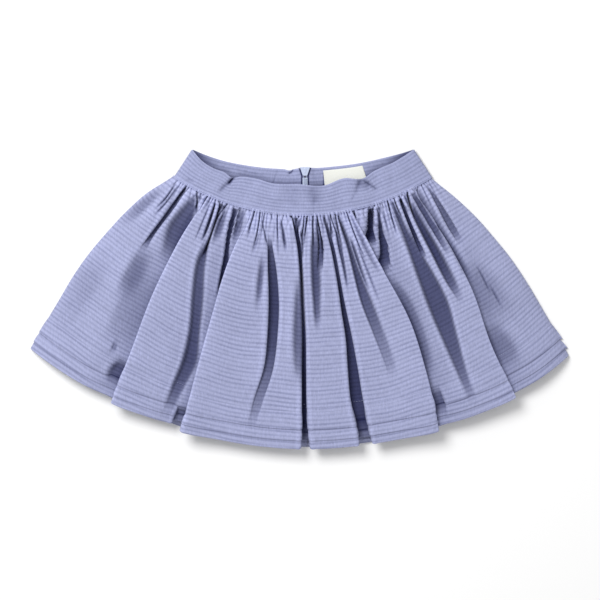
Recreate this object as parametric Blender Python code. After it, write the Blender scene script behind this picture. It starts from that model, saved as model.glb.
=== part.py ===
"""A child's gathered skirt in ribbed blue cotton, laid flat on its back with the front up.

The waist points to +Y, the hem to -Y and the front to +Z. The origin is the middle of the outline, on the
surface that the skirt lies on. Lengths are millimetres until a point is placed, and Blender gets metres.

Seen from above the laid skirt is a fan. A point of the cloth has a bearing, in degrees from straight down the
front and plus to the right, and a radius from the middle of the circle that the waist seam lies on. Across a
piece, SHARE runs from -1 at the left side seam to 1 at the right one. Down a piece, DROP runs from 0 at the
waist seam to 1 at the hem.
"""

import math

import bmesh
import bpy
import numpy as np

MM = 0.001
PART_NAME = "skirt"

# Outline of the laid skirt, seen from above
FAN_X = 3.7
FAN_Y = 340.4
SEAM_RADIUS = 251.0
SEAM_BEARING = 32.9
SIDE_BEARING_LEFT = (33.4, 35.8, 37.1, 37.5, 37.9, 37.8, 37.4, 36.8, 36.0)
SIDE_BEARING_RIGHT = (32.7, 34.7, 35.9, 36.5, 36.6, 36.5, 36.1, 35.7, 35.1)
HEM_RADIUS = (488.1, 489.2, 492.0, 496.5, 498.0, 497.7, 498.0, 496.6, 490.8)

# Cloth and seams
CLOTH = 1.2
BAND_CLOTH = 2.0
SEAM_GAP = 0.3

# Front panel: how high its middle stands over its side seams, at even steps from the waist seam to the hem
FRONT_CROWN = (13.0, 17.6, 18.6, 18.6, 17.6)
FRONT_ROUNDNESS_AT_WAIST = 2.6
FRONT_ROUNDNESS_AT_HEM = 6.6
CROWN_FALL = 0.55
SIDE_ROUNDNESS = 12.0
SIDE_CLEARANCE = 0.4
BAND_LEVEL_DROP = 0.06

# Gathers of the front: fine ones at the seam, and soft ones in pairs below it, which wander a little
FRONT_SEAM_GATHERS = 48
GATHER_HEIGHT = 1.1
GATHER_REACH = 0.075
SOFT_GATHER_HEIGHT = 1.3
SOFT_GATHER_REACH = 0.12
SOFT_GATHER_FADE_FROM = 0.2
SOFT_GATHER_END = 0.6
GATHER_WANDER = (
    # size in radians, waves across, start in radians
    (0.9, 7.3, 0.6),
    (0.5, 17.9, 0.0),
)

# Folds of the front. A fold laps one layer over the next, its upper layer on the right (1) or left (-1). A gap
# is a narrow slot between two rolls. A valley is a soft trough. Bearings in degrees and heights in millimetres
# are given at even steps from the waist seam to the hem, and width is a size in millimetres across the fold.
FOLDS = (
    # name, kind, upper side, width, bearings, heights
    ("left_lobe_edge", "fold", 1, 5.5, (-24.2, -25.2, -25.4, -24.9, -24.4), (0.5, 6.0, 7.5, 8.0, 7.5)),
    ("second_lobe_edge", "fold", 1, 5.5, (-12.4, -15.0, -15.1, -15.3, -15.2), (1.0, 7.0, 8.0, 8.5, 8.0)),
    ("centre_gap", "gap", 0, 5.6, (-1.5, -0.3, 0.1, 0.3, 0.4), (2.5, 7.5, 8.0, 8.0, 6.5)),
    ("right_centre_gap", "gap", 0, 5.6, (5.9, 6.7, 7.1, 7.4, 7.8), (2.0, 6.5, 7.5, 7.5, 6.5)),
    ("fourth_lobe_edge", "fold", -1, 5.5, (11.1, 15.1, 17.0, 17.4, 16.8), (1.0, 7.0, 8.0, 8.0, 7.5)),
    ("right_lobe_edge", "fold", -1, 5.5, (28.4, 28.8, 28.5, 27.1, 26.9), (1.0, 5.5, 6.5, 7.0, 6.5)),
    ("second_lobe_valley", "valley", 0, 8.0, (-19.9, -19.8, -17.7, -16.8, -17.5), (1.5, 3.5, 3.2, 2.6, 1.8)),
    ("third_lobe_slot", "gap", 0, 6.0, (-9.8, -5.7, -5.0, -6.0, -6.8), (1.5, 5.0, 6.0, 4.5, 2.5)),
    ("fourth_lobe_valley", "valley", 0, 5.0, (2.7, 2.5, 2.5, 2.6, 2.8), (1.5, 3.0, 0.6, 0.0, 0.0)),
    ("fifth_lobe_valley", "valley", 0, 8.0, (8.6, 10.2, 11.0, 12.6, 13.5), (1.5, 3.0, 3.0, 1.2, 0.0)),
    ("sixth_lobe_valley", "valley", 0, 7.5, (22.9, 21.4, 21.7, 22.3, 21.5), (1.5, 4.5, 4.5, 4.5, 3.5)),
    ("left_upper_valley", "valley", 0, 6.5, (-29.4, -30.5, -31.6, -32.8, -34.0), (1.5, 3.5, 1.5, 0.0, 0.0)),
    ("left_inner_valley", "valley", 0, 6.0, (-26.6, -27.6, -28.4, -29.0, -29.5), (1.2, 2.5, 1.2, 0.0, 0.0)),
    ("right_upper_valley", "valley", 0, 6.5, (31.2, 31.6, 31.8, 32.2, 32.6), (1.2, 3.0, 2.4, 1.0, 0.0)),
    ("right_inner_valley", "valley", 0, 6.0, (26.3, 25.6, 24.9, 24.6, 24.4), (1.5, 3.0, 1.6, 0.0, 0.0)),
    ("centre_left_crease", "valley", 0, 4.5, (-5.2, -2.8, -2.4, -2.4, -2.4), (1.4, 1.6, 0.0, 0.0, 0.0)),
    ("second_lobe_crease", "valley", 0, 4.5, (-16.2, -15.6, -15.4, -15.3, -15.2), (1.4, 0.8, 0.0, 0.0, 0.0)),
    ("right_crease", "valley", 0, 5.0, (18.8, 16.9, 18.5, 19.0, 18.8), (1.5, 2.5, 0.0, 0.0, 0.0)),
)
FOLD_LAP = 1.7
FOLD_STEEPNESS = 1.4
FOLD_REACH = 26.0
GAP_PINCH = 1.2
GAP_PINCH_REACH = 1.5
GAP_FLOOR = 0.95
LOW_FOLD = 4.0
FULL_FOLD = 8.0

# Two tucks round the hem, laid down towards it: the place of a tuck's stitching and of its folded edge above
# the hem, and how far it stands proud of the cloth under it
TUCKS = (
    # name, stitched at, folded edge at, height at the edge
    ("upper_tuck", 43.0, 20.6, 1.0),
    ("lower_tuck", 20.6, 8.8, 0.6),
)
TUCK_EDGE = 0.7

# Waistband
FRONT_BAND_TOP = (216.3, 225.0, 224.2, 219.8, 218.6, 218.8, 220.4, 218.2, 216.6)
BACK_BAND_TOP = (215.6, 211.2, 206.6, 203.4, 201.6, 201.5, 204.2, 208.6, 215.6)
BAND_HEIGHT = 35.0

# Back panels: they lie on their flats and are gathered and waved upwards
BACK_GATHERS = 24
BACK_GATHER_HEIGHT = 1.5
BACK_GATHER_REACH = 0.08
BACK_WAVE_HEIGHT = 2.6
BACK_WAVE_BEARING = 7.2
BACK_WAVE_FULL_DROP = 0.3
BACK_SHARE_FLAT = 0.94
BACK_SHARE_FADE = 0.1
BACK_FLAT_TRIM = 0.2
BACK_HEM_INSET = 1.0
BESIDE_ZIP = 12.0

# Zip in the centre back, closed. Its pull hangs outside, under the back, which it lifts a little
ZIP_BEARING = 0.6
ZIP_HALF_SLIT = 1.1
ZIP_LIFT = 4.4
ZIP_LIFT_WIDTH = 13.0
ZIP_LIFT_FROM = 229.5
ZIP_LIFT_TO = 250.0
ZIP_END_RADIUS = 330.0
CHAIN_WIDTH = 5.0
CHAIN_THICK = 1.2
SLIDER_RADIUS = 206.4
SLIDER_LENGTH = 9.0
CHAIN_START = SLIDER_RADIUS + SLIDER_LENGTH / 2 + SEAM_GAP
ZIP_BAND_END = 239.0
SLIDER_WIDE = 8.4
SLIDER_NARROW = 4.6
SLIDER_INNER_THICK = 1.2
SLIDER_OUTER_THICK = 0.7
SLIDER_OUTER_WIDE = 6.0
SLIDER_OUTER_LENGTH = 8.0
NECK_WIDE = 1.6
NECK_LENGTH = 3.0
AXLE_HEIGHT = 2.15
ARCH_WIDE = 1.4
ARCH_RADIUS = 1.8
ARCH_HOLE_RADIUS = 0.8
ARCH_TOP = 0.9
JOIN_DEPTH = 0.2
INNER_PLATE_CORNER = 0.8
OUTER_PLATE_CORNER = 1.2
ARCH_CORNER = 1.0
PULL_CORNER = 1.6
PULL_LENGTH = 18.0
PULL_WIDE = 5.0
PULL_THICK = 0.9
PULL_BAR = 0.45
PULL_EYE_END = 2.4
PULL_EYE_WIDE = 2.1

# Blank woven label on the inside of the back band
LABEL_X = 47.9
LABEL_WIDE = 43.0
LABEL_TOP_DROP = 3.2
LABEL_TALL = 19.0
LABEL_THICK = 1.0

# How finely the cloth is divided. Rows are drops; the front has more rows at its tucks
FRONT_ROWS = (0, 0.03, 0.075, 0.145, 0.26, 0.42, 0.62)
FRONT_COLUMNS_A_GATHER = 4
BACK_ROWS = (0, 0.05, 0.14, 0.3, 0.6, 1)
BACK_COLUMNS_A_GATHER = 3
FRONT_BAND_COLUMNS = 40
FRONT_BAND_ROWS = 3
BACK_BAND_COLUMNS = 18
BACK_BAND_ROWS = 5
NORMAL_DROP_STEP = 0.004


def along(values, share):
    """A smooth curve through values given at even steps, read at a share from 0 to 1."""
    values = np.asarray(values, float)
    last = len(values) - 1
    place = np.clip(share, 0, 1) * last
    step = np.minimum(place.astype(int), last - 1)
    part = place - step
    ends = np.concatenate([[2 * values[0] - values[1]], values, [2 * values[-1] - values[-2]]])
    before, here, there, after = (ends[step + shift] for shift in range(4))
    bend = 2 * before - 5 * here + 4 * there - after + part * (3 * (here - there) + after - before)
    return here + 0.5 * part * (there - before + part * bend)


def ease(value):
    """0 below 0, 1 above 1, and smooth between."""
    value = np.clip(value, 0, 1)
    return value * value * (3 - 2 * value)


def fan_point(bearing, radius, height):
    turn = np.radians(bearing)
    return np.stack([FAN_X + radius * np.sin(turn), FAN_Y - radius * np.cos(turn), height], axis=-1)


def across(bearing, other, radius):
    """Millimetres along the circle from one bearing to another."""
    return np.radians(bearing - other) * radius


def side_bearing(share, drop):
    return np.where(share < 0, along(SIDE_BEARING_LEFT, drop), along(SIDE_BEARING_RIGHT, drop))


def hem_radius(share):
    return along(HEM_RADIUS, (share + 1) / 2)


def crown(share, roundness):
    """1 across the middle, falling to 0 at the side seams: a higher roundness falls later."""
    return np.maximum(1 - np.abs(share) ** roundness, 0) ** CROWN_FALL


def fold_relief(bearing, radius, drop):
    """How far the front's folds shift the cloth along the circle and raise it."""
    shift = np.zeros_like(bearing)
    rise = np.zeros_like(bearing)
    for _, kind, upper, width, bearings, heights in FOLDS:
        height = np.maximum(along(heights, drop), 0)
        away = across(bearing, along(bearings, drop), radius)
        near = away / width
        if kind == "fold":
            lap = FOLD_LAP * ease((height - LOW_FOLD) / (FULL_FOLD - LOW_FOLD))
            shift -= lap * away * np.exp(-near**2 / 2)
            rise += upper * height / 2 * np.tanh(FOLD_STEEPNESS * near) * np.exp(-((away / FOLD_REACH) ** 2))
        elif kind == "gap":
            pinch = GAP_PINCH * ease((height - LOW_FOLD) / (FULL_FOLD - LOW_FOLD))
            shift -= pinch * away * near**2 * np.exp(-(near**2) / GAP_PINCH_REACH)
            rise -= height * np.exp(-((near / GAP_FLOOR) ** 4))
        else:
            rise -= height * np.exp(-(near**2))
    return shift, rise


def gather_relief(share, drop):
    """Gathers at the waist seam, which run together in pairs lower down."""
    turn = math.pi * FRONT_SEAM_GATHERS * (share + 1)
    wander = sum(size * np.sin(waves * share + start) for size, waves, start in GATHER_WANDER)
    fine = GATHER_HEIGHT * np.cos(turn) * np.exp(-drop / GATHER_REACH)
    soft = np.cos(turn / 2 + wander) * (drop / SOFT_GATHER_REACH) * np.exp(1 - drop / SOFT_GATHER_REACH)
    fade = ease((SOFT_GATHER_END - drop) / (SOFT_GATHER_END - SOFT_GATHER_FADE_FROM))
    return fine + SOFT_GATHER_HEIGHT * soft * fade


def front_band_level(share):
    """Height of the front waistband's underside."""
    edge = BAND_CLOTH + SEAM_GAP
    return edge + (FRONT_CROWN[0] - edge) * crown(share, FRONT_ROUNDNESS_AT_WAIST)


def front_panel(share, drop):
    """Middle of the front panel's cloth."""
    bearing = share * side_bearing(share, drop)
    radius = SEAM_RADIUS + SEAM_GAP / 2 + drop * (hem_radius(share) - SEAM_RADIUS)
    roundness = FRONT_ROUNDNESS_AT_WAIST + (FRONT_ROUNDNESS_AT_HEM - FRONT_ROUNDNESS_AT_WAIST) * drop
    level = CLOTH + SIDE_CLEARANCE + along(FRONT_CROWN, drop) * crown(share, roundness)
    level += (front_band_level(share) + BAND_CLOTH / 2 - level) * ease(1 - drop / BAND_LEVEL_DROP)
    shift, rise = fold_relief(bearing, radius, drop)
    inner = crown(share, SIDE_ROUNDNESS)
    bearing = bearing + np.degrees(shift / radius) * inner
    return fan_point(bearing, radius, level + (rise + gather_relief(share, drop)) * inner)


def tuck_relief(share, drop):
    """How far the tucks stand proud of the front panel."""
    above = (1 - drop) * (hem_radius(share) - SEAM_RADIUS)
    proud = np.zeros_like(drop)
    for _, stitched, folded, height in TUCKS:
        proud += height * ease((above - folded) / TUCK_EDGE) * ease((stitched - above) / (stitched - folded))
    return proud


def zip_lift(bearing, radius):
    """The back's rise over the zip's pull."""
    beside = across(bearing, ZIP_BEARING, radius) / ZIP_LIFT_WIDTH
    fall = np.clip((ZIP_LIFT_TO - radius) / (ZIP_LIFT_TO - ZIP_LIFT_FROM), 0, 1)
    return ZIP_LIFT * np.exp(-(beside**2)) * fall


def back_seam_radius(bearing):
    share = bearing / SEAM_BEARING
    return along(BACK_BAND_TOP, (share + 1) / 2) + BAND_HEIGHT


def back_underside(bearing, radius, share, drop):
    """Height of the back panels' outer side, which lies on the surface but for its gathers and waves."""
    turn = math.pi * BACK_GATHERS * (share + 1)
    gathers = BACK_GATHER_HEIGHT * np.cos(turn) * np.exp(-drop / BACK_GATHER_REACH)
    wave_turn = math.tau * bearing / BACK_WAVE_BEARING
    waves = BACK_WAVE_HEIGHT * np.cos(wave_turn) * ease(drop / BACK_WAVE_FULL_DROP)
    beside_zip = 1 - np.exp(-((across(bearing, ZIP_BEARING, radius) / BESIDE_ZIP) ** 2))
    beside_side = ease((BACK_SHARE_FLAT - np.abs(share)) / BACK_SHARE_FADE)
    raised = (gathers + waves) * beside_zip * beside_side - BACK_FLAT_TRIM
    return np.maximum(raised, 0) + zip_lift(bearing, radius)


def back_panel(side):
    """The underside of one back panel: its SHARE runs from the zip (0) to the side seam (1)."""

    def place(share, drop):
        outer = side_bearing(np.full_like(share, side), drop)
        radius_guess = SEAM_RADIUS + drop * (HEM_RADIUS[4] - SEAM_RADIUS)
        slit = np.where(radius_guess < ZIP_END_RADIUS, ZIP_HALF_SLIT, SEAM_GAP / 2)
        start = ZIP_BEARING + side * np.degrees(slit / radius_guess)
        bearing = start + share * (side * outer - start)
        seam = back_seam_radius(bearing * SEAM_BEARING / outer) + SEAM_GAP
        radius = seam + drop * (hem_radius(bearing / outer) - BACK_HEM_INSET - seam)
        return fan_point(bearing, radius, back_underside(bearing, radius, side * share, drop))

    return place


def front_band(share, rise):
    """Underside of the front waistband: RISE runs from the waist seam (0) to its top edge (1)."""
    top = along(FRONT_BAND_TOP, (share + 1) / 2)
    radius = SEAM_RADIUS - SEAM_GAP / 2 + rise * (top - SEAM_RADIUS)
    return fan_point(share * SEAM_BEARING, radius, front_band_level(share))


def back_band(side):
    """Underside of one half of the back waistband."""

    def place(share, rise):
        start = ZIP_BEARING + side * math.degrees(ZIP_HALF_SLIT / SLIDER_RADIUS)
        bearing = start + share * (side * SEAM_BEARING - start)
        seam = back_seam_radius(bearing)
        radius = seam - rise * BAND_HEIGHT
        return fan_point(bearing, radius, zip_lift(bearing, radius))

    return place


def zip_chain(share, run):
    """Underside of the closed coil: RUN goes from the slider (0) down to the bottom stop (1)."""
    radius = CHAIN_START + run * (ZIP_END_RADIUS - CHAIN_START)
    bearing = ZIP_BEARING + share * np.degrees(CHAIN_WIDTH / 2 / radius)
    past_band = np.clip((radius - ZIP_BAND_END) / (ZIP_LIFT_TO - ZIP_BAND_END), 0, 1)
    carried = BAND_CLOTH + (CLOTH - BAND_CLOTH) * past_band
    return fan_point(bearing, radius, zip_lift(bearing, radius) + carried + SEAM_GAP)


def chain_rows():
    """The coil bends where it leaves the pull's rise, where it leaves the band, and where the rise ends."""
    halfway = (ZIP_LIFT_TO + ZIP_END_RADIUS) / 2
    bends = (CHAIN_START, ZIP_LIFT_FROM, ZIP_BAND_END, ZIP_LIFT_TO, halfway, ZIP_END_RADIUS)
    return [(bend - CHAIN_START) / (ZIP_END_RADIUS - CHAIN_START) for bend in bends]


def label(share, rise):
    """Underside of the label, RISE from its lower edge (0) to its upper edge (1)."""
    x = LABEL_X + share * LABEL_WIDE / 2
    bearing = np.degrees(np.arcsin((x - FAN_X) / (SEAM_RADIUS - BAND_HEIGHT)))
    top = along(BACK_BAND_TOP, (bearing / SEAM_BEARING + 1) / 2) + LABEL_TOP_DROP
    radius = top + (1 - rise) * LABEL_TALL
    return fan_point(bearing, radius, zip_lift(bearing, radius) + BAND_CLOTH + SEAM_GAP)


def unit_normals(surface, shares, drops, share_step, drop_step):
    """Upward normals of a surface at each point of a grid."""
    low, high = shares.min(), shares.max()
    right = surface(np.minimum(shares + share_step, high), drops)
    left = surface(np.maximum(shares - share_step, low), drops)
    down = surface(shares, np.minimum(drops + drop_step, 1))
    up = surface(shares, np.maximum(drops - drop_step, 0))
    normals = np.cross(down - up, right - left)
    normals /= np.linalg.norm(normals, axis=-1, keepdims=True)
    lying = np.sign(np.median(normals[..., 2]))
    return normals * lying


def material(name, colour, roughness, metallic=0.0):
    made = bpy.data.materials.new(name)
    made.use_nodes = True
    shader = made.node_tree.nodes["Principled BSDF"]
    shader.inputs["Base Color"].default_value = (*colour, 1.0)
    shader.inputs["Roughness"].default_value = roughness
    shader.inputs["Metallic"].default_value = metallic
    return made


def add_object(name, mesh, finish, collection):
    mesh.materials.append(finish)
    made = bpy.data.objects.new(name, mesh)
    collection.objects.link(made)
    return made


def flat_wall(name, surface, columns, rows, thickness, finish, collection):
    """A wall that stands straight up from a surface without overhangs."""
    shares, drops = np.meshgrid(columns, rows, indexing="ij")
    under = surface(shares, drops)
    return closed_wall(name, under, under + np.array([0, 0, thickness]), finish, collection)


def folded_wall(name, surface, columns, rows, thickness, relief, finish, collection):
    """A wall on both sides of a folded surface, with relief on its outer side alone."""
    shares, drops = np.meshgrid(columns, rows, indexing="ij")
    normals = unit_normals(surface, shares, drops, columns[1] - columns[0], NORMAL_DROP_STEP)
    middle = surface(shares, drops)
    under = middle - normals * thickness / 2
    over = middle + normals * (thickness / 2 + relief(shares, drops))[..., None]
    return closed_wall(name, under, over, finish, collection)


def closed_wall(name, under, over, finish, collection):
    """One closed body between two grids of points, joined round their edges."""
    columns, rows = under.shape[:2]
    bm = bmesh.new()
    bmesh.ops.create_grid(bm, x_segments=columns - 1, y_segments=rows - 1, size=1.0)
    bmesh.ops.triangulate(bm, faces=bm.faces[:], quad_method="FIXED")
    lifted = bmesh.ops.extrude_face_region(bm, geom=bm.faces[:], use_keep_orig=True)
    lifted = {item for item in lifted["geom"] if isinstance(item, bmesh.types.BMVert)}
    for vert in bm.verts:
        column = round((vert.co.x + 1) / 2 * (columns - 1))
        row = round((vert.co.y + 1) / 2 * (rows - 1))
        vert.co = (over if vert in lifted else under)[column, row] * MM
    bmesh.ops.recalc_face_normals(bm, faces=bm.faces[:])
    mesh = bpy.data.meshes.new(name)
    bm.to_mesh(mesh)
    bm.free()
    return add_object(name, mesh, finish, collection)


def box_object(name, centre, size, collection):
    """A box at a place, as a mesh with no turn or scale, in millimetres."""
    bm = bmesh.new()
    bmesh.ops.create_cube(bm, size=1.0)
    for vert in bm.verts:
        vert.co = [MM * (middle + side * part) for middle, side, part in zip(centre, size, vert.co)]
    mesh = bpy.data.meshes.new(name)
    bm.to_mesh(mesh)
    bm.free()
    made = bpy.data.objects.new(name, mesh)
    collection.objects.link(made)
    return made


def rod_object(name, centre, radius, length, collection):
    """A round rod along X at a place."""
    bm = bmesh.new()
    bmesh.ops.create_cone(
        bm, cap_ends=True, segments=16, radius1=radius * MM, radius2=radius * MM, depth=length * MM
    )
    for vert in bm.verts:
        x, y, z = vert.co
        vert.co = (z + centre[0] * MM, y + centre[1] * MM, -x + centre[2] * MM)
    mesh = bpy.data.meshes.new(name)
    bm.to_mesh(mesh)
    bm.free()
    made = bpy.data.objects.new(name, mesh)
    collection.objects.link(made)
    return made


def combine(target, tool, operation):
    """Joins or cuts one solid with another, which stays as a hidden helper."""
    tool.hide_render = True
    tool.display_type = "WIRE"
    step = target.modifiers.new(operation.title() + "_" + tool.name, "BOOLEAN")
    step.operation = operation
    step.object = tool


def taper(box, narrow_share):
    """Narrows a box in X towards its lower Y end."""
    points = [vert.co for vert in box.data.vertices]
    middle = sum(point.x for point in points) / len(points)
    lowest = min(point.y for point in points)
    for point in points:
        if point.y == lowest:
            point.x = middle + (point.x - middle) * narrow_share


def round_corners(box, width, segments, axis):
    """Rounds a box's corners that run along one axis."""
    bm = bmesh.new()
    bm.from_mesh(box.data)
    edges = [edge for edge in bm.edges if abs((edge.verts[0].co - edge.verts[1].co).normalized()[axis]) > 0.9]
    bmesh.ops.bevel(
        bm,
        geom=edges,
        offset=width * MM,
        offset_type="OFFSET",
        segments=segments,
        affect="EDGES",
        profile=0.5,
        material=-1,
    )
    bm.to_mesh(box.data)
    bm.free()


def zip_middle(radius):
    """X and Y of the zip's line at a radius."""
    x, y, _ = fan_point(np.float64(ZIP_BEARING), np.float64(radius), np.float64(0))
    return float(x), float(y)


def slider(finish, collection, helpers):
    """The slider: an inner and an outer plate, the neck that joins them through the slit, and the pull's arch."""
    x, y = zip_middle(SLIDER_RADIUS)
    outer_low = AXLE_HEIGHT + ARCH_TOP
    outer_top = outer_low + SLIDER_OUTER_THICK
    inner_low = ZIP_LIFT + BAND_CLOTH + SEAM_GAP
    inner_top = inner_low + SLIDER_INNER_THICK
    inner_size = (SLIDER_WIDE, SLIDER_LENGTH, SLIDER_INNER_THICK)
    body = box_object("zip_slider", (x, y, (inner_low + inner_top) / 2), inner_size, collection)
    taper(body, SLIDER_NARROW / SLIDER_WIDE)
    round_corners(body, INNER_PLATE_CORNER, 3, 2)
    body.data.materials.append(finish)
    outer_size = (SLIDER_OUTER_WIDE, SLIDER_OUTER_LENGTH, SLIDER_OUTER_THICK)
    outer = box_object("slider_outer_plate", (x, y, (outer_low + outer_top) / 2), outer_size, helpers)
    round_corners(outer, OUTER_PLATE_CORNER, 3, 2)
    neck_low = outer_low + JOIN_DEPTH
    neck_top = inner_low + 2 * JOIN_DEPTH
    neck_size = (NECK_WIDE, NECK_LENGTH, neck_top - neck_low)
    neck = box_object("slider_neck", (x, y, (neck_low + neck_top) / 2), neck_size, helpers)
    arch_low = AXLE_HEIGHT - ARCH_RADIUS
    arch_top = outer_low + JOIN_DEPTH
    arch_size = (ARCH_WIDE, 2 * ARCH_RADIUS, arch_top - arch_low)
    arch = box_object("slider_arch", (x, y, (arch_low + arch_top) / 2), arch_size, helpers)
    round_corners(arch, ARCH_CORNER, 3, 0)
    hole = rod_object("slider_arch_hole", (x, y, AXLE_HEIGHT), ARCH_HOLE_RADIUS, 4 * ARCH_WIDE, helpers)
    combine(body, outer, "UNION")
    combine(body, neck, "UNION")
    combine(body, arch, "UNION")
    combine(body, hole, "DIFFERENCE")
    return body


def pull(finish, collection, helpers):
    """The pull tab, lying towards the hem, with an eye for the slider's arch. It turns about its bar."""
    x, y = zip_middle(SLIDER_RADIUS)
    size = (PULL_WIDE, PULL_LENGTH + PULL_BAR, PULL_THICK)
    tab = box_object("zip_pull", (x, y + (PULL_BAR - PULL_LENGTH) / 2, AXLE_HEIGHT), size, collection)
    round_corners(tab, PULL_CORNER, 4, 2)
    tab.data.materials.append(finish)
    eye_size = (PULL_EYE_WIDE, PULL_EYE_END - PULL_BAR, 3 * PULL_THICK)
    eye = box_object("pull_eye", (x, y - (PULL_EYE_END + PULL_BAR) / 2, AXLE_HEIGHT), eye_size, helpers)
    combine(tab, eye, "DIFFERENCE")
    return tab


def even_steps(count):
    return np.linspace(-1, 1, count + 1)


def hem_rows(reach):
    """The rows at the tucks: the stitching, and both sides of each folded edge."""
    rows = [1 - TUCKS[0][1] / reach]
    for _, _, folded, _ in TUCKS:
        rows += [1 - (folded + TUCK_EDGE) / reach, 1 - folded / reach]
    return rows + [1.0]


def main():
    for left in list(bpy.data.objects):
        bpy.data.objects.remove(left)
    collection = bpy.data.collections.new(PART_NAME)
    helpers = bpy.data.collections.new("helpers")
    bpy.context.scene.collection.children.link(collection)
    bpy.context.scene.collection.children.link(helpers)

    cotton = material("blue_cotton", (0.376, 0.402, 0.604), 0.85)
    band_cotton = material("blue_band_cotton", (0.323, 0.352, 0.539), 0.85)
    coil = material("light_blue_coil", (0.50, 0.56, 0.74), 0.55)
    enamel = material("light_blue_enamel", (0.557, 0.631, 0.807), 0.4)
    satin = material("white_label_satin", (0.90, 0.91, 0.88), 0.6)

    front_columns = even_steps(FRONT_COLUMNS_A_GATHER * FRONT_SEAM_GATHERS)
    front_rows = list(FRONT_ROWS) + hem_rows(HEM_RADIUS[4] - SEAM_RADIUS)
    folded_wall("front_panel", front_panel, front_columns, front_rows, CLOTH, tuck_relief, cotton, collection)
    back_columns = np.linspace(0, 1, BACK_COLUMNS_A_GATHER * BACK_GATHERS + 1)
    band_columns = np.linspace(0, 1, BACK_BAND_COLUMNS + 1)
    band_rows = np.linspace(0, 1, BACK_BAND_ROWS + 1)
    for side, word in ((-1, "left"), (1, "right")):
        flat_wall("back_panel_" + word, back_panel(side), back_columns, BACK_ROWS, CLOTH, cotton, collection)
        band = back_band(side)
        flat_wall(
            "back_waistband_" + word, band, band_columns, band_rows, BAND_CLOTH, band_cotton, collection
        )
    band_columns = even_steps(FRONT_BAND_COLUMNS)
    band_rows = np.linspace(0, 1, FRONT_BAND_ROWS + 1)
    flat_wall("front_waistband", front_band, band_columns, band_rows, BAND_CLOTH, band_cotton, collection)
    flat_wall("zip_chain", zip_chain, even_steps(2), chain_rows(), CHAIN_THICK, coil, collection)
    flat_wall("label", label, even_steps(8), np.linspace(0, 1, 4), LABEL_THICK, satin, collection)
    slider(enamel, collection, helpers)
    pull(enamel, collection, helpers)


main()
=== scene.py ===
"""A child's gathered skirt in ribbed lavender-blue cotton, laid flat on its back with its front up.

Lengths are millimetres until a mesh is made, and Blender gets metres. Seen from above the laid skirt is a
fan: a point of the cloth has a bearing, in degrees from straight down the front and plus to the right, and
a radius from the middle of the circle that the waist seam lies on. Across a piece SHARE runs from -1 at the
left side seam to 1 at the right one. Down the skirt DROP runs from 0 at the waist seam to 1 at the hem, and
up a band RISE runs from 0 at that seam to 1 at its top.
"""

import math

import bmesh
import bpy
import numpy as np
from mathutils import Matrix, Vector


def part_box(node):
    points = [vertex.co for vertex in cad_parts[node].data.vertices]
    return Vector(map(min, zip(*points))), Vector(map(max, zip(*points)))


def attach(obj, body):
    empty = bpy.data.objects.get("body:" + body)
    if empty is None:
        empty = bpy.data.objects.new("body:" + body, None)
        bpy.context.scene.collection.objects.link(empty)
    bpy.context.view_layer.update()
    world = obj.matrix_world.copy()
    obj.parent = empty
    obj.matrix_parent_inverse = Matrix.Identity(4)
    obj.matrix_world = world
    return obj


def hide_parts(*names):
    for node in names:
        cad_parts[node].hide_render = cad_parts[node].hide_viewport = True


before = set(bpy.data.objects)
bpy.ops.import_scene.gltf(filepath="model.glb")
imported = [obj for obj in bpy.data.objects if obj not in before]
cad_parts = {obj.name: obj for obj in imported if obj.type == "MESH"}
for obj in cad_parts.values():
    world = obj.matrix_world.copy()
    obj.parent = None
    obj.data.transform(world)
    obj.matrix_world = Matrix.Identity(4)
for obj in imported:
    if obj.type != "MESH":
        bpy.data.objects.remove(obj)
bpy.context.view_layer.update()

MM = 0.001
UP = np.array([0.0, 0.0, 1.0])

# The laid outline
FAN_X = 3.7
FAN_Y = 340.4
SEAM_RADIUS = 251.0
SEAM_BEARING = 32.9
SIDE_BEARING_LEFT = (33.3, 36.0, 37.2, 37.7, 37.9, 37.7, 37.2, 36.8, 36.4)
SIDE_BEARING_RIGHT = (32.7, 34.7, 35.9, 36.4, 36.6, 36.4, 36.0, 35.6, 35.2)
HEM_RADIUS = (487.4, 489.4, 492.6, 496.2, 498.0, 498.0, 497.6, 495.4, 489.2)
PANEL_LENGTH = 247.0

# Cloth
CLOTH = 0.8
SIDE_LEVEL = 1.6
BAND_CLOTH = 2.0
BAND_FLOOR = 2.3
FRONT_CROWN = (13.0, 17.6, 18.6, 18.6, 17.6)
ROUNDNESS_AT_WAIST = 2.6
ROUNDNESS_AT_HEM = 6.6
CROWN_FALL = 0.55
SIDE_ROUNDNESS = 12.0
HEM_TILT = 0.75
HEM_TILT_FROM = 0.72
# The front leaves the level of its waistband over this much of the drop
BAND_LEVEL_DROP = 0.06
HALF_WIDTH = 290.0

# Long folds of the front that lap one layer over the next, the upper layer on the right (1) or left (-1).
# Bearings and heights are given at even steps from the waist seam to the hem.
LAPS = (
    # upper side, bearings, heights, share of the colour darkened by painted shade beside the edge
    (1, (-23.8, -24.9, -25.1, -24.5, -24.1), (1, 6, 7.5, 8, 7.5), 0.4),
    (1, (-12.4, -14.4, -14.8, -14.9, -14.8), (1.5, 7, 8, 8.5, 8), 0.4),
    (-1, (11.9, 14.6, 16.9, 17.1, 16.5), (1.5, 7, 8, 8, 7.5), 0.5),
    (-1, (28, 28.4, 28.2, 26.9, 26.7), (1.5, 5.5, 6.5, 7, 6.5), 0.45),
)
# Painted shade beside a lap's edge: its reach, and its weight on the lap's low side
LAP_SHADE_REACH = 3.6
LAP_SHADE = 0.22
LAP_WIDTH = 2.6
LAP_LEAN = 3.2
LAP_REACH = 26.0
FULL_LAP = 6.0
# Painted highlight along a lap's upper edge: its strength, and its place from the edge
LAP_CREST_LIGHT = 0.6
LAP_CREST_PLACE = 1.3

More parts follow.
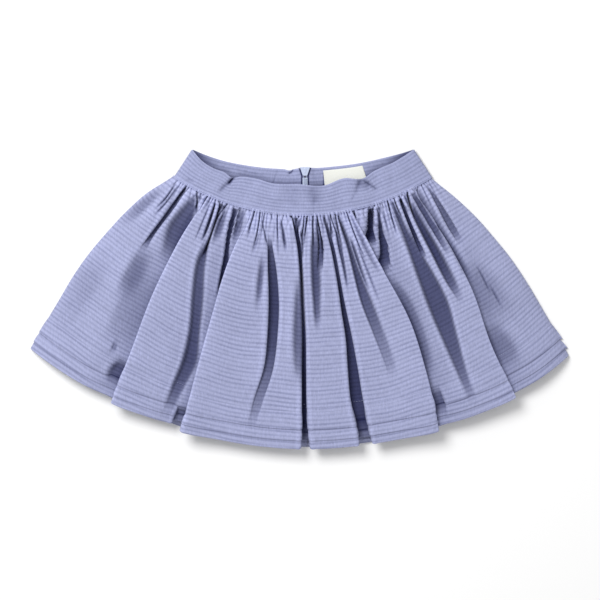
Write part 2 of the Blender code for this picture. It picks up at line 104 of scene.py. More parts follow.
# Hollows between the rolls of cloth. Bearings and depths are at even steps from the top of a hollow to its
# bottom. A narrow wall makes a crisp edge, and a deep hollow with crisp edges has rolls that lean over it.
HOLLOWS = (
    # from drop, to drop, left edge, right edge, left wall, right wall, depths
    (0.05, 0.32, (-34.3, -36.2, -37.2), (-33.2, -34.4, -35.6), 3.5, 3.5, (3.5, 5, 2.5)),
    (0.38, 0.89, (-37.4, -37.2, -36.8), (-34.6, -33.6, -33.8), 6, 9, (1, 1.2, 0.8)),
    (0.02, 0.18, (-31.9, -32.2, -32.9), (-31.6, -31.8, -32.5), 0.9, 0.9, (4, 4.5, 2)),
    (0.03, 0.2, (-31.3, -31.6, -32.3), (-30.9, -31.2, -31.9), 0.9, 0.9, (4, 4.5, 2)),
    (0.01, 0.36, (-29.6, -30.1, -30.4, -30.8, -31.1), (-28.9, -29.1, -29.7, -30.1, -29.9),
     1.3, 1.5, (6, 8, 4)),
    (0.3, 0.62, (-31, -31, -30.6), (-29.3, -28.2, -28.8), 4, 7, (2.6, 2.6, 0.8)),
    (0.32, 0.84, (-30.8, -29.6, -28.4), (-25.6, -25.3, -25), 6, 2, (1.6, 1.4, 0.9)),
    (0.02, 0.38, (-26.4, -27.6, -28.2, -27.3, -26.6), (-25.7, -25, -25, -25.1, -25.3),
     4.5, 1.5, (5.5, 6, 2.5)),
    (0.02, 0.11, (-25.5, -25.2, -24.8), (-25.2, -24.8, -24.4), 0.8, 0.8, (5, 5, 3)),
    (0.01, 0.07, (-24.2, -24.3), (-23.6, -23.9), 0.8, 0.8, (4, 4, 3)),
    (0.76, 0.82, (-27.4, -27.3), (-26.8, -26.7), 1.5, 1.5, (2, 2.5, 2)),
    (0.81, 0.97, (-25.4, -26.2, -25.7), (-24.6, -24.6, -24.5), 3.2, 1.5, (3.5, 5.5, 2.5)),
    (0.03, 0.22, (-22.5, -22.5, -22.4), (-22.2, -22.2, -22.2), 0.9, 0.9, (2.5, 2.5, 1.5)),
    (0.02, 0.21, (-21.5, -21.3, -21.1), (-21, -20.7, -20.8), 0.9, 0.9, (6, 6.5, 4)),
    (0.01, 0.27, (-20.4, -20, -19.9, -20.1), (-19.4, -19.5, -19.5, -19.3), 1, 0.9, (7, 8.5, 7)),
    (0.15, 0.98, (-20.1, -20.4, -19.2, -17.9, -17.4, -17.7, -17.9),
     (-19.6, -18.9, -17.4, -16.4, -15.6, -16.3, -16.8),
     2.2, 2.2, (6, 6, 6.5, 3)),
    (0.02, 0.2, (-19.3, -19.3, -19), (-18.2, -17.9, -18), 1.4, 2.6, (4.5, 5, 2.5)),
    (0.01, 0.42, (-16.8, -16.6, -15.9, -15.5, -15.3), (-16, -15.8, -15.2, -14.9, -14.8),
     1, 1, (8, 7.5, 4.5)),
    (0.01, 0.17, (-15.3, -15.2, -15.2), (-14, -14.1, -14.7), 1.2, 1, (4, 3.5, 2)),
    (0.91, 1.02, (-16.2, -16.5), (-14.9, -14.8), 1.2, 1.2, (3, 5, 5)),
    (0.02, 0.16, (-12.5, -13, -13.6), (-12.3, -12.7, -13.3), 0.8, 0.8, (3.5, 4, 2)),
    (0.02, 0.14, (-11.5, -11.8, -12.2), (-11.3, -11.6, -12), 0.8, 0.8, (3, 3, 2)),
    (0.05, 0.2, (-10, -10.4, -10.6), (-9.7, -9.7, -10.1), 1, 1, (2.2, 2.4, 1.5)),
    (0.02, 0.17, (-10, -8.6, -7.3), (-9.8, -8.3, -7), 0.8, 0.8, (4, 4, 4)),
    (0.14, 0.46, (-8.5, -8.4, -8), (-8.1, -7.6, -7.7), 2.4, 2, (1.5, 4.4, 1.2)),
    (0.08, 0.95, (-7.9, -7, -6.1, -5.7, -5.7, -6.6, -7.1), (-7.4, -5.3, -4.2, -4, -4.3, -5.4, -6.2),
     1.9, 1.4, (4, 8.5, 8, 3.6, 0.8)),
    (0.02, 0.2, (-6.4, -5.6, -5), (-6.2, -5.4, -4.8), 0.8, 0.8, (2.5, 2.5, 1.5)),
    (0.03, 0.17, (-5.2, -4.5, -3.7), (-4.9, -3.9, -3.3), 0.9, 0.9, (4, 5, 3)),
    (0.22, 0.76, (-0.9, -1.3, -1.3, -0.6), (-0.3, -0.2, -0.2, -0.2), 3.4, 1.5, (2.5, 4.8, 2)),
    (0.01, 1.06, (-2.8, -1.2, -0.5, -0.2, -0.1, -0.2, -0.2, -0.2, -0.3),
     (-1.4, -0.4, 0, 0.25, 0.45, 0.5, 0.5, 0.7, 1),
     1.5, 1.5, (9, 12, 12.5)),
    (0.02, 0.15, (-0.8, -0.9, -0.6), (-0.3, -0.6, -0.4), 0.9, 0.9, (6, 6, 3)),
    (0.01, 0.21, (0.5, 0, -0.2), (1, 0.4, 0), 0.9, 0.9, (6, 6, 3)),
    (0.02, 0.52, (2.3, 1.8, 1.7, 1.9, 2.1), (2.7, 2.9, 3.2, 2.9, 2.6), 1.6, 2.4, (4.5, 6.5, 3)),
    (0.02, 0.26, (3.1, 3.2, 2.8), (3.6, 4.4, 3.6), 1.1, 1.1, (6, 8, 4)),
    (0.01, 1.06, (4.8, 5.8, 6.4, 6.5, 6.7, 6.5, 6.4, 6.8, 6.9), (5.3, 6.6, 7, 7.4, 7.8, 8, 8.1, 8.3, 8.6),
     1.5, 1.5, (6.5, 9.5, 10.5)),
    (0.01, 0.12, (6.1, 6.2, 6.5), (6.5, 6.7, 6.8), 0.9, 0.9, (5, 5, 3)),
    (0.02, 0.34, (7.2, 7.4, 7.8, 8.1), (7.6, 8.1, 8.3, 8.3), 1, 1, (6, 5, 4)),
    (0.01, 0.76, (8, 9.2, 9.7, 10.1, 11, 11.8, 12.3), (8.6, 9.9, 10.8, 11.8, 12.6, 13.2, 13.5),
     1, 2.4, (8, 7, 6, 2.8, 0.6)),
    (0.1, 0.37, (10.1, 10.6, 11.2, 11.9), (10.5, 11.1, 11.6, 12.2), 0.8, 1.2, (5, 5, 2)),
    (0.12, 0.42, (11.2, 11.9, 12.6, 13.2), (11.5, 12.2, 12.9, 13.4), 0.8, 1, (2.5, 3, 1.5)),
    (0.03, 0.3, (11.3, 12.2, 13.2, 14.3), (11.6, 12.5, 13.5, 14.5), 0.8, 0.8, (3, 3, 2)),
    (0.01, 0.08, (12, 12.3), (12.5, 12.8), 0.8, 0.8, (5, 5, 3)),
    (0.01, 0.18, (15.7, 14.8, 14.1, 15), (17.2, 16.2, 15.5, 15.2), 1, 1, (9, 12, 9)),
    (0.02, 0.31, (17.8, 17.2, 16.4, 15.8, 15.2, 15), (18.6, 17.8, 17.6, 17.5, 17, 15.8),
     1.5, 1, (5, 8.5, 6)),
    (0.28, 0.82, (15.4, 16.9, 17.3, 17.4, 17.3), (15.9, 18, 18.7, 18.6, 18.1), 1.2, 4, (3, 3, 2)),
    (0.82, 0.98, (17, 17, 17), (18.3, 18.5, 18.2), 1.5, 1.2, (2, 4, 3)),
    (0.01, 0.17, (20.5, 20.2, 19.9), (20.9, 20.6, 20.2), 0.9, 0.9, (4, 4, 2)),
    (0.02, 0.98, (21.3, 21.3, 21.1, 21, 21.2, 21.4, 21.5), (22.3, 22.5, 23.6, 24, 23.2, 22.5, 22.4),
     2.4, 2, (6, 7, 7, 6.6, 4.6, 1)),
    (0.02, 0.31, (23.4, 23.1, 23, 23.3), (24.1, 23.9, 23.9, 23.8), 1.1, 1, (9, 10, 8)),
    (0.01, 0.56, (24.8, 24.8, 25, 25.2, 25.9), (25.7, 26.1, 26.5, 26.6, 26.4), 1.2, 3, (7.5, 9.5, 1.5)),
    (0.02, 0.36, (26.6, 26.8, 27.2, 27.5), (27.3, 27.7, 27.8, 27.9), 1.2, 1.6, (7, 7.5, 1)),
    (0.01, 0.5, (27.8, 28, 28.1, 28), (28.9, 29, 29.3, 29.4), 1, 3, (4.5, 5, 3)),
    (0.02, 0.32, (30.9, 30.5, 30.2, 30.4), (31.2, 31.5, 31.5, 31.2), 1.4, 1, (4.5, 5, 3.5)),
    (0.36, 0.74, (28.8, 28.6, 27.8), (31, 32.5, 32.5), 3, 9, (1.5, 1.7, 1)),
    (0.42, 0.58, (31.1, 30.9, 30.6), (31.3, 31.1, 30.9), 0.9, 0.9, (3.5, 4, 3)),
    (0.52, 0.66, (31.2, 31.1, 31), (31.5, 31.4, 31.3), 0.9, 0.9, (3, 3, 2)),
    (0.64, 0.94, (27.3, 27.2, 27.1), (28.6, 29.8, 29.4), 1.2, 6, (2, 2.6, 1.6)),
)
ROLL_LEAN = 2.2
# Makes the furthest lean 1
LEAN_GAIN = 2.33
RIDGE = 0.6
ROLL_COVER = 1.2
RIDGE_PLACE = 1.6
WIDE_HOLLOW = 3.0
CRISP_WALL = 2.0
FULL_HOLLOW = 7.0
STEEPNESS = 1.6
# Depth of fold at which the painted shade takes away two thirds of the light
DARK_DEPTH = 3.6
# How far a hollow fades in and out along itself, and how much more for each millimetre of its walls
HOLLOW_FADE = 3.0
HOLLOW_FADE_BY_WALL = 12.0
# No fade is longer than this share of its hollow
LONGEST_FADE = 0.4
# A hollow that starts above this drop comes out of the waist seam
SEAM_DROP = 0.04
# Hollows longer than this share of the drop guide the columns of the front's mesh
LONG_HOLLOW = 0.52
CROWDING = 1.3
CROWD_REACH = 2.6
FRONT_COLUMNS = 590
COLUMN_STEPS = 6001

# Fine creases that run down from the waist seam, each with its bearings at its top, middle and bottom
CREASES = (
    # to drop, bearings, width, depth
    (0.1, (-23.6, -23.8, -24), 0.8, 6),
    (0.1, (-18.5, -19.3, -20), 0.8, 5),
    (0.12, (-11.6, -11.9, -12.2), 0.7, 4.5),
    (0.15, (-10.3, -10.2, -10.4), 0.7, 4),
    (0.13, (-6.2, -5.8, -5.4), 0.7, 4),
    (0.07, (-2.9, -2.5, -1.8), 1.1, 6),
    (0.09, (-1, -1.1, -1.2), 0.7, 6),
    (0.19, (0.3, -0.1, 0.1), 0.7, 6),
    (0.1, (1.1, 0.7, 0.4), 0.7, 5),
    (0.15, (2.4, 2.2, 2.1), 0.7, 5),
    (0.2, (3.3, 4.1, 4.1), 0.8, 5),
    (0.1, (6.6, 7, 7.5), 0.7, 5),
    (0.18, (7.7, 8.1, 8.5), 0.8, 5),
    (0.24, (10.5, 11.5, 12.7), 0.7, 5),
    (0.28, (11.8, 13.3, 14.9), 0.7, 5),
    (0.05, (12.3, 12.5, 12.6), 0.9, 5),
    (0.1, (17.5, 16.8, 16.1), 0.7, 4.5),
    (0.16, (20.8, 20.3, 20), 0.7, 6),
    (0.1, (22.4, 22.4, 22.5), 0.7, 5),
    (0.13, (26, 25.3, 24.8), 0.8, 6),
    (0.12, (-29.3, -29.6, -29.8), 0.8, 4),
    (0.09, (-26.6, -25.4, -24.9), 0.8, 5),
)

# Fine gathers that the waist seam draws up between the troughs
PUCKERS = 104
PUCKER_DEPTH = (1.4, 4.4)
PUCKER_WIDTH = (0.5, 0.85)
PUCKER_LENGTH = (7.0, 42.0)
# The gathers' painted shade is stronger near the seam: by this much, fading over this reach
PUCKER_SHADE = 1.3
PUCKER_SHADE_REACH = 30.0
PUCKER_SCATTER = 0.2
# The cloth rises beside a crease or pucker: this share of its depth, at this many of its widths
PUCKER_CREST = 0.4
PUCKER_CREST_PLACE = 2.2
# The whole cloth puffs up below the seam
SEAM_PUFF = 0.8
SEAM_PUFF_REACH = 12.0
# Painted highlight on crests, and its most; painted shade just below the waist seam, and its reach
CREST_LIGHT = 0.3
MOST_CREST_LIGHT = 0.4
SEAM_SHADE = 2.6
SEAM_SHADE_REACH = 1.7
# How much the painted shade in a fold fades at the open hem, where light comes back in
HEM_LIGHT = 0.4
HEM_LIGHT_REACH = 9.0

# Two tucks round the hem: the height of the stitching and of the folded edge above the hem
TUCKS = (
    # name, stitched at, folded edge at
    ("upper_tuck", 43.0, 20.6),
    ("lower_tuck", 21.4, 8.8),
)
TUCK_CLOTH = 0.35
TUCK_LIFT = 0.8
TUCK_COLUMNS = 420
# Rows round a tuck's folded edge: how far above the edge, and how far off the front
TUCK_TURN = ((-0.35, 0.8), (-0.42, 0.72), (-0.3, 0.64), (1.2, 0.6), (4.0, 0.58))
# Painted shade along each tuck's folded edge, and its width
TUCK_SHADE = 0.25
TUCK_SHADE_WIDTH = 0.9
STITCHED = 43.6
STITCH_FLATNESS = 0.7
# Painted shade along the tuck stitching, and its width
STITCH_SHADE = 0.22
STITCH_SHADE_WIDTH = 1.1
TUCK_OVERHANG = (0.3, 2.6)

# The share of the folds' height by which the ribs sag, and their waves: height, and how fast each turns across
# and down
RIB_SAG = 0.45
RIB_WAVES = ((0.9, 9.0, 4.0), (0.6, 23.0, -3.0))

# The front band's top edge, laid: bearing and radius
FRONT_BAND_TOP = (
    (-32.9, 216), (-28.9, 221), (-24.9, 222.4), (-22, 221.8), (-19.3, 224), (-17.7, 220.8),
    (-13.9, 218.2), (-8, 219.8), (-1.5, 218.3), (5.6, 220.8), (11.6, 216.4), (16.7, 221.4), (20, 218),
    (26.4, 217.2), (32.9, 215.8),
)
BACK_BAND_TOP = (215.6, 211.2, 206.6, 203.4, 201.6, 201.5, 204.2, 208.6, 215.6)
BAND_HEIGHT = 35.0
# Creases pressed in the front band, each a line on the laid skirt
BAND_CREASES = (
    # from x, from y, to x, to y, width, depth
    (-68.5, 130.5, -75, 123, 1.4, 3),
    (-72, 127, -84, 115, 2, 1.4),
    (65.6, 128.5, 59, 112.5, 2, 0.9),
    (68, 126, 81.5, 117, 1.2, 1.6),
    (61, 124.5, 74, 120.5, 5, 1.3),
    (15.4, 107.5, 15.4, 92.5, 0.8, 0.35),
    (13, 118, 17.5, 102, 6.5, 1.1),
    (57.5, 109.5, 55.5, 106.5, 0.9, 0.8),
    (-6, 120, -9, 100, 9, 0.6),
    (-113, 124.5, -118.5, 128, 1, 0.8),
)
BACK_BAND_CREASES = (
    (-11.5, 133.6, -6.6, 137.4, 0.8, 3.2),
    (-23.8, 136.8, -29.8, 119.2, 0.9, 0.6),
    (14.5, 138, 16, 128, 1.2, 0.5),
    (34, 139, 32, 126, 3, 0.4),
)
# Painted shade in the bands' creases
BAND_CREASE_SHADE = 0.3
# A crease has its full depth up to this share of its length from its middle, and fades over the second share
CREASE_FULL = 0.35
CREASE_FADE = 0.2
# The share of its depth by which a crease sinks the back band
BACK_CREASE_SINK = 0.4
BAND_OVER_SEAM = 0.9
BAND_LIFT = 0.3
# The rounded corner of a doubled band as a share of its thickness, and the points round its edge: share of the
# corner, and share of half the thickness
BAND_CORNER = 0.35
BAND_TURN = ((0.3, -0.75), (0.0, 0.0), (0.3, 0.75))
# The band's roll over the seam and the groove above it: height, rise, width
BAND_ROLLS = ((0.7, 0.03, 0.035), (-0.3, 0.1, 0.02))
# Its gentle waves: height, how fast each turns across and up the band, and where it starts
BAND_WAVES = ((0.35, 0.55, 0, 1), (0.25, 1.3, -3, 0))
# Painted highlight along the front band's lower edge
BAND_EDGE_LIGHT = 0.4

# Painted shade on the back band: its strength, its place where it has one, and its width
UNDER_EDGE_SHADE = (0.45, 8.0)
CORNER_SHADE = (0.4, 22.0, 9.0)
BESIDE_ZIP_SHADE = (1.5, 3.3, 0.8)
BACK_SEAM_SHADE = (0.25, 0.03)
BESIDE_LABEL_SHADE = (0.7, 0.9, 0.7)

# Back panels and zip
BACK_GATHERS = 24
BACK_GATHER_HEIGHT = 1.5
BACK_GATHER_REACH = 0.08
BACK_WAVE_HEIGHT = 2.6
BACK_WAVE_BEARING = 7.2
BACK_WAVE_FULL_DROP = 0.3
BACK_SHARE_FLAT = 0.94
BACK_SHARE_FADE = 0.1
BACK_FLAT_TRIM = 0.2
BACK_HEM_INSET = 1.0
SEAM_GAP = 0.3
BESIDE_ZIP = 12.0
ZIP_BEARING = 0.6
ZIP_HALF_SLIT = 1.1
HALF_SLIT_BELOW = 0.15
ZIP_LIFT = 4.4
ZIP_LIFT_WIDTH = 13.0
ZIP_LIFT_FROM = 229.5
ZIP_LIFT_TO = 250.0
ZIP_BAND_END = 239.0
ZIP_END_RADIUS = 330.0
SLIDER_RADIUS = 206.4
CHAIN_START = 211.2
TAPE_HALF_WIDTH = 2.7
CHAIN_THICK = 1.2
CHAIN_LIFT = 0.3
TAPE_LIFT = 0.25
SLIDER_FLARE = 2.8
SLIDER_FLARE_LONG = 9.5
# How far the zip draws up the band's top edge beside it
ZIP_BAND_RISE = 1.8
ZIP_BAND_RISE_WIDTH = 7.0
# A small notch in that edge, left of the zip
BAND_NOTCH = 1.4
BAND_NOTCH_FROM_ZIP = 17.0
BAND_NOTCH_WIDTH = 4.0
FIRST_TOOTH = 0.8
TOOTH_PITCH = 1.3
TOOTH_LIFT = 0.72
TOOTH_FROM_MIDDLE = 0.85
TOOTH_SLANT = 0.18

# Label
LABEL_X = 47.9
LABEL_WIDE = 43.0
LABEL_TOP_DROP = 3.2
LABEL_TALL = 19.0
LABEL_LIFT = 0.45
LABEL_PUFF = 0.35


def along(values, share):
    """A smooth curve through values given at even steps, read at a share from 0 to 1."""
    values = np.asarray(values, float)
    last = len(values) - 1
    place = np.clip(share, 0, 1) * last
    step = np.minimum(place.astype(int), last - 1)
    part = place - step
    ends = np.concatenate([[2 * values[0] - values[1]], values, [2 * values[-1] - values[-2]]])
    before, here, there, after = (ends[step + shift] for shift in range(4))
    bend = 2 * before - 5 * here + 4 * there - after + part * (3 * (here - there) + after - before)
    return here + 0.5 * part * (there - before + part * bend)


def ease(value):
    """0 below 0, 1 above 1, and smooth between."""
    value = np.clip(value, 0, 1)
    return value * value * (3 - 2 * value)


def bell(value):
    """1 at 0, and fading to nothing on either side."""
    return np.exp(-(value**2))


def unit(vectors):
    return vectors / np.linalg.norm(vectors, axis=-1, keepdims=True)


def through(points, at):
    """A smooth curve through (place, value) points at uneven steps."""
    places, values = np.array(points, float).T
    slopes = np.gradient(values, places)
    step = np.clip(np.searchsorted(places, at) - 1, 0, len(places) - 2)
    gap = places[step + 1] - places[step]
    part = np.clip((at - places[step]) / gap, 0, 1)
    climb = values[step + 1] - values[step]
    start, end = slopes[step] * gap, slopes[step + 1] * gap
    bend = 3 * climb - 2 * start - end + part * (start + end - 2 * climb)
    return values[step] + part * (start + part * bend)


def fan_point(bearing, radius, height):
    turn = np.radians(bearing)
    height = np.broadcast_to(height, np.shape(turn))
    return np.stack([FAN_X + radius * np.sin(turn), FAN_Y - radius * np.cos(turn), height], axis=-1)


def across(bearing, other, radius):
    """Millimetres along the circle from one bearing to another."""
    return np.radians(bearing - other) * radius


def side_bearing(share, drop):
    return np.where(share < 0, along(SIDE_BEARING_LEFT, drop), along(SIDE_BEARING_RIGHT, drop))


def hem_radius(share):
    return along(HEM_RADIUS, (share + 1) / 2)


def front_place(share, drop):
    """Bearing and radius of a point of the front, before its folds."""
    return share * side_bearing(share, drop), SEAM_RADIUS + drop * (hem_radius(share) - SEAM_RADIUS)


def crown(share, roundness):
    """1 across the middle, falling to 0 at the side seams: a higher roundness falls later."""
    return np.maximum(1 - np.abs(share) ** roundness, 0) ** CROWN_FALL


def lean_over(near):
    """How far a fold's edge leans out over the cloth under it, near a fold's wall."""
    return LEAN_GAIN * near * bell(near)


def lap_relief(bearing, radius, drop):
    shift = np.zeros_like(bearing)
    rise = np.zeros_like(bearing)
    for upper, bearings, heights, _ in LAPS:
        height = np.maximum(along(heights, drop), 0)
        away = across(bearing, along(bearings, drop), radius)
        near = away / LAP_WIDTH
        shift -= LAP_LEAN * ease(height / FULL_LAP) * lean_over(near)
        rise += upper * height / 2 * np.tanh(STEEPNESS * near) * bell(away / LAP_REACH)
    return shift, rise


def hollow_edges(hollow, radius, drop):
    """Depth of a hollow, how far its rolls lean over it, and the bearings of its two walls."""
    start, end, left, right, left_wall, right_wall, depths = hollow
    run = (drop - start) / (end - start)
    fade = (HOLLOW_FADE + HOLLOW_FADE_BY_WALL * (left_wall + right_wall) / 2) / PANEL_LENGTH
    fade = min(fade, LONGEST_FADE * (end - start))
    from_seam = 0.5 if start < SEAM_DROP else 0.0
    past_hem = 1.0 if end > 1 else 0.0
    depth = along(depths, run) * ease((drop - start) / fade + from_seam)
    depth *= ease((end - drop) / fade + past_hem)
    left, right = along(left, run), along(right, run)
    wide = ease((across(right, left, radius) - ROLL_LEAN) / WIDE_HOLLOW)
    leaning = ease(depth / FULL_HOLLOW) * wide * (max(left_wall, right_wall) < CRISP_WALL)
    cover = np.degrees(ROLL_COVER * leaning / radius)
    return depth, leaning, left - cover, right + cover


def hollow_relief(bearing, radius, drop):
    shift = np.zeros_like(bearing)
    rise = np.zeros_like(bearing)
    for hollow in HOLLOWS:
        start, end, left_wall, right_wall = hollow[0], hollow[1], hollow[4], hollow[5]
        near = (drop > start) & (drop < end)
        if not near.any():
            continue
        depth, leaning, left, right = hollow_edges(hollow, radius[near], drop[near])
        from_left = across(bearing[near], left, radius[near]) / left_wall
        from_right = across(right, bearing[near], radius[near]) / right_wall
        inside = (1 + np.tanh(STEEPNESS * from_left)) * (1 + np.tanh(STEEPNESS * from_right)) / 4
        ridge = bell(from_left + RIDGE_PLACE) + bell(from_right + RIDGE_PLACE)
        rise[near] += RIDGE * ease(depth / FULL_HOLLOW) * ridge - depth * inside
        shift[near] += ROLL_LEAN * leaning * (lean_over(-from_left) - lean_over(-from_right))
    return shift, rise


def pucker_relief(bearing, radius, drop):
    """The fine creases, and the small gathers of the waist seam."""
    draw = np.random.default_rng(11)
    down = drop * PANEL_LENGTH
    rise = np.zeros_like(bearing)
    for end, bearings, width, depth in CREASES:
        run = drop / end
        away = across(bearing, along(bearings, run), radius) / width
        fade = ease((1 - run) / 0.5) * ease(0.4 + down / 4)
        crests = PUCKER_CREST * bell(np.abs(away) - PUCKER_CREST_PLACE)
        rise -= depth * fade * (bell(away) - crests)
    for place in np.linspace(-SEAM_BEARING, SEAM_BEARING, PUCKERS):
        at = place + draw.uniform(-PUCKER_SCATTER, PUCKER_SCATTER)
        depth = draw.uniform(*PUCKER_DEPTH)
        width = draw.uniform(*PUCKER_WIDTH)
        length = PUCKER_LENGTH[0] + (PUCKER_LENGTH[1] - PUCKER_LENGTH[0]) * draw.random() ** 2
        drift = draw.uniform(-1.0, 1.0)
        away = across(bearing, at + drift * down / length, radius) / (width * (1 + down / length))
        fade = bell(down / length) * ease(0.3 + down / 2.0)
        rise -= depth * fade * (bell(away) - PUCKER_CREST * bell(away / PUCKER_CREST_PLACE))
    return rise + SEAM_PUFF * np.exp(-down / SEAM_PUFF_REACH)


def front_band_level(share):
    """Height of the front waistband's underside."""
    return BAND_FLOOR + (FRONT_CROWN[0] - BAND_FLOOR) * crown(share, ROUNDNESS_AT_WAIST)


def front_rise(bearing, radius, drop):
    """All of the front's folds: how far they shift the cloth along the circle, and raise it."""
    lap_shift, lap_rise = lap_relief(bearing, radius, drop)
    hollow_shift, hollow_rise = hollow_relief(bearing, radius, drop)
    return lap_shift + hollow_shift, lap_rise + hollow_rise + pucker_relief(bearing, radius, drop)


def front_cloth(share, drop):
    """Middle of the front panel's cloth."""
    bearing, radius = front_place(share, drop)
    roundness = ROUNDNESS_AT_WAIST + (ROUNDNESS_AT_HEM - ROUNDNESS_AT_WAIST) * drop
    level = SIDE_LEVEL + along(FRONT_CROWN, drop) * crown(share, roundness)
    band_level = front_band_level(share) + BAND_CLOTH / 2
    level += (band_level - level) * ease(1 - drop / BAND_LEVEL_DROP)
    shift, rise = front_rise(bearing, radius, drop)
    inner = crown(share, SIDE_ROUNDNESS)
    hangs = HEM_TILT * rise * ease((drop - HEM_TILT_FROM) / (1 - HEM_TILT_FROM))
    bearing = bearing + np.degrees(shift / radius) * inner
    return fan_point(bearing, radius + hangs * inner, level + rise * inner)


def front_painted_shade(share, drop):
    """Painted shade for a point of the front, by how deep in the folds it is: from 0 on top to 1 where no
    light gets in, and below 0 for painted highlight on crests.
    """
    bearing, radius = front_place(share, drop)
    down = drop * PANEL_LENGTH
    # Painted shade just below the waist seam, in the gathers and hollows, and on the low side of each lap
    depth = SEAM_SHADE * bell(down / SEAM_SHADE_REACH)
    near_seam = np.exp(-down / PUCKER_SHADE_REACH)
    depth -= pucker_relief(bearing, radius, drop) * (1 + PUCKER_SHADE * near_seam)
    depth -= hollow_relief(bearing, radius, drop)[1]
    depth -= LAP_SHADE * np.minimum(lap_relief(bearing, radius, drop)[1], 0)
    # Depth becomes painted shade, and height on crests becomes painted highlight
    hollow = np.where(depth > 0, 1 - np.exp(-np.maximum(depth, 0) / DARK_DEPTH), CREST_LIGHT * depth)
    # Painted shade beside each lap's edge, and painted highlight along its upper side
    for upper, bearings, heights, painted_edge_shade in LAPS:
        below = -upper * across(bearing, along(bearings, drop), radius)
        beside = bell(np.maximum(below, 0) / LAP_SHADE_REACH) * ease(below / 1.5 + 0.7)
        full = ease(along(heights, drop) / FULL_LAP)
        hollow += full * (painted_edge_shade * beside - LAP_CREST_LIGHT * bell(below + LAP_CREST_PLACE))
    hollow = np.clip(hollow, -MOST_CREST_LIGHT, 1) * crown(share, SIDE_ROUNDNESS)
    above = (1 - drop) * PANEL_LENGTH
    # The painted shade in the folds fades at the open hem
    hollow *= 1 - HEM_LIGHT * bell(above / HEM_LIGHT_REACH)
    # Painted shade along the tuck stitching, broken up along it, and along each tuck's folded edge
    broken = 0.6 + 0.4 * np.sin(share * 61.0) * np.sin(share * 143.0)
    hollow += STITCH_SHADE * broken * bell((above - STITCHED) / STITCH_SHADE_WIDTH)
    for _, _, folded in TUCKS:
        hollow += TUCK_SHADE * bell((above - folded + TUCK_SHADE_WIDTH) / TUCK_SHADE_WIDTH)
    return hollow


def front_ribs(share, drop):
    """Where a point of the front is on the cut cloth, in millimetres: across it, and down it."""
    bearing, radius = front_place(share, drop)
    _, rise = front_rise(bearing, radius, drop)
    sag = RIB_SAG * rise
    for height, across_rate, down_rate in RIB_WAVES:
        sag = sag + height * np.sin(share * across_rate + drop * down_rate)
    return np.radians(bearing) * radius, drop * PANEL_LENGTH + sag * ease(drop / 0.1)


def long_folds(drop, radius):
    """Bearings of the folds that run far down the front, and of its two sides, from left to right."""
    lines = [-along(SIDE_BEARING_LEFT, drop), along(SIDE_BEARING_RIGHT, drop)]
    lines += [along(bearings, drop) for _, bearings, _, _ in LAPS]
    for hollow in HOLLOWS:
        if hollow[1] - hollow[0] > LONG_HOLLOW:
            lines += hollow_edges(hollow, radius, drop)[2:]
    return np.sort(np.array(lines), axis=0)


def front_columns(rows, count):
    """Columns of the front's mesh at each row: they follow its long folds and crowd beside them."""
    drops = np.clip(rows, 0, 1)
    radius = SEAM_RADIUS + drops * PANEL_LENGTH
    lines = long_folds(drops, radius)
    widths = np.radians(np.diff(lines, axis=0) @ radius / len(rows))
    places = np.concatenate([[0], np.cumsum(widths)])
    fine = np.linspace(0, places[-1], COLUMN_STEPS)
    crowd = 1 + sum(CROWDING * bell((fine - place) / CROWD_REACH) for place in places)
    total = np.cumsum(crowd)
    chosen = np.interp(np.linspace(total[0], total[-1], count), total, fine)
    step = np.interp(chosen, places, np.arange(len(places)))
    before = np.minimum(step.astype(int), len(lines) - 2)
    part = (step - before)[:, None]
    bearing = lines[before] * (1 - part) + lines[before + 1] * part
    return (bearing / side_bearing(bearing, drops)).T


def mesh_of(bm, name):
    mesh = bpy.data.meshes.new(name)
    bm.to_mesh(mesh)
    bm.free()
    return mesh


def in_scene(name, data):
    made = bpy.data.objects.new(name, data)
    bpy.context.scene.collection.objects.link(made)
    return made


def grid_mesh(name, points, cut, hollow=None):
    """A grid of cloth with its points in millimetres, and a map of where each lies on the cut cloth.

    HOLLOW says how deep in a fold each point is, from 0 to 1, and is kept as an attribute that the cloth's
    colour paints shade and highlight from."""
    rows, columns = points.shape[:2]
    bm = bmesh.new()
    bmesh.ops.create_grid(bm, x_segments=columns - 1, y_segments=rows - 1, size=1.0)
    mesh = mesh_of(bm, name)
    flat = np.empty(len(mesh.vertices) * 3)
    mesh.vertices.foreach_get("co", flat)
    flat = flat.reshape(-1, 3)
    column = np.rint((flat[:, 0] + 1) / 2 * (columns - 1)).astype(int)
    row = np.rint((flat[:, 1] + 1) / 2 * (rows - 1)).astype(int)
    mesh.vertices.foreach_set("co", (points[row, column] * MM).ravel())
    corners = np.empty(len(mesh.loops), int)
    mesh.loops.foreach_get("vertex_index", corners)
    layer = mesh.uv_layers.new(name="cut")
    layer.data.foreach_set("uv", (cut[row, column][corners] * MM).ravel())
    deep = np.zeros(len(mesh.vertices)) if hollow is None else hollow[row, column]
    mesh.attributes.new("hollow", "FLOAT", "POINT").data.foreach_set("value", deep.astype(float))
    mesh.polygons.foreach_set("use_smooth", np.ones(len(mesh.polygons), bool))
    mesh.update()
    return mesh


def surface_normals(surface, shares, runs, share_step, run_step):
    """Normals of a surface at each point of a grid, pointing up."""
    right = surface(np.minimum(shares + share_step, 1), runs)
    left = surface(np.maximum(shares - share_step, -1), runs)
    down = surface(shares, runs + run_step)
    up = surface(shares, runs - run_step)
    normals = unit(np.cross(down - up, right - left))
    return normals * np.sign(np.median(normals[..., 2]))


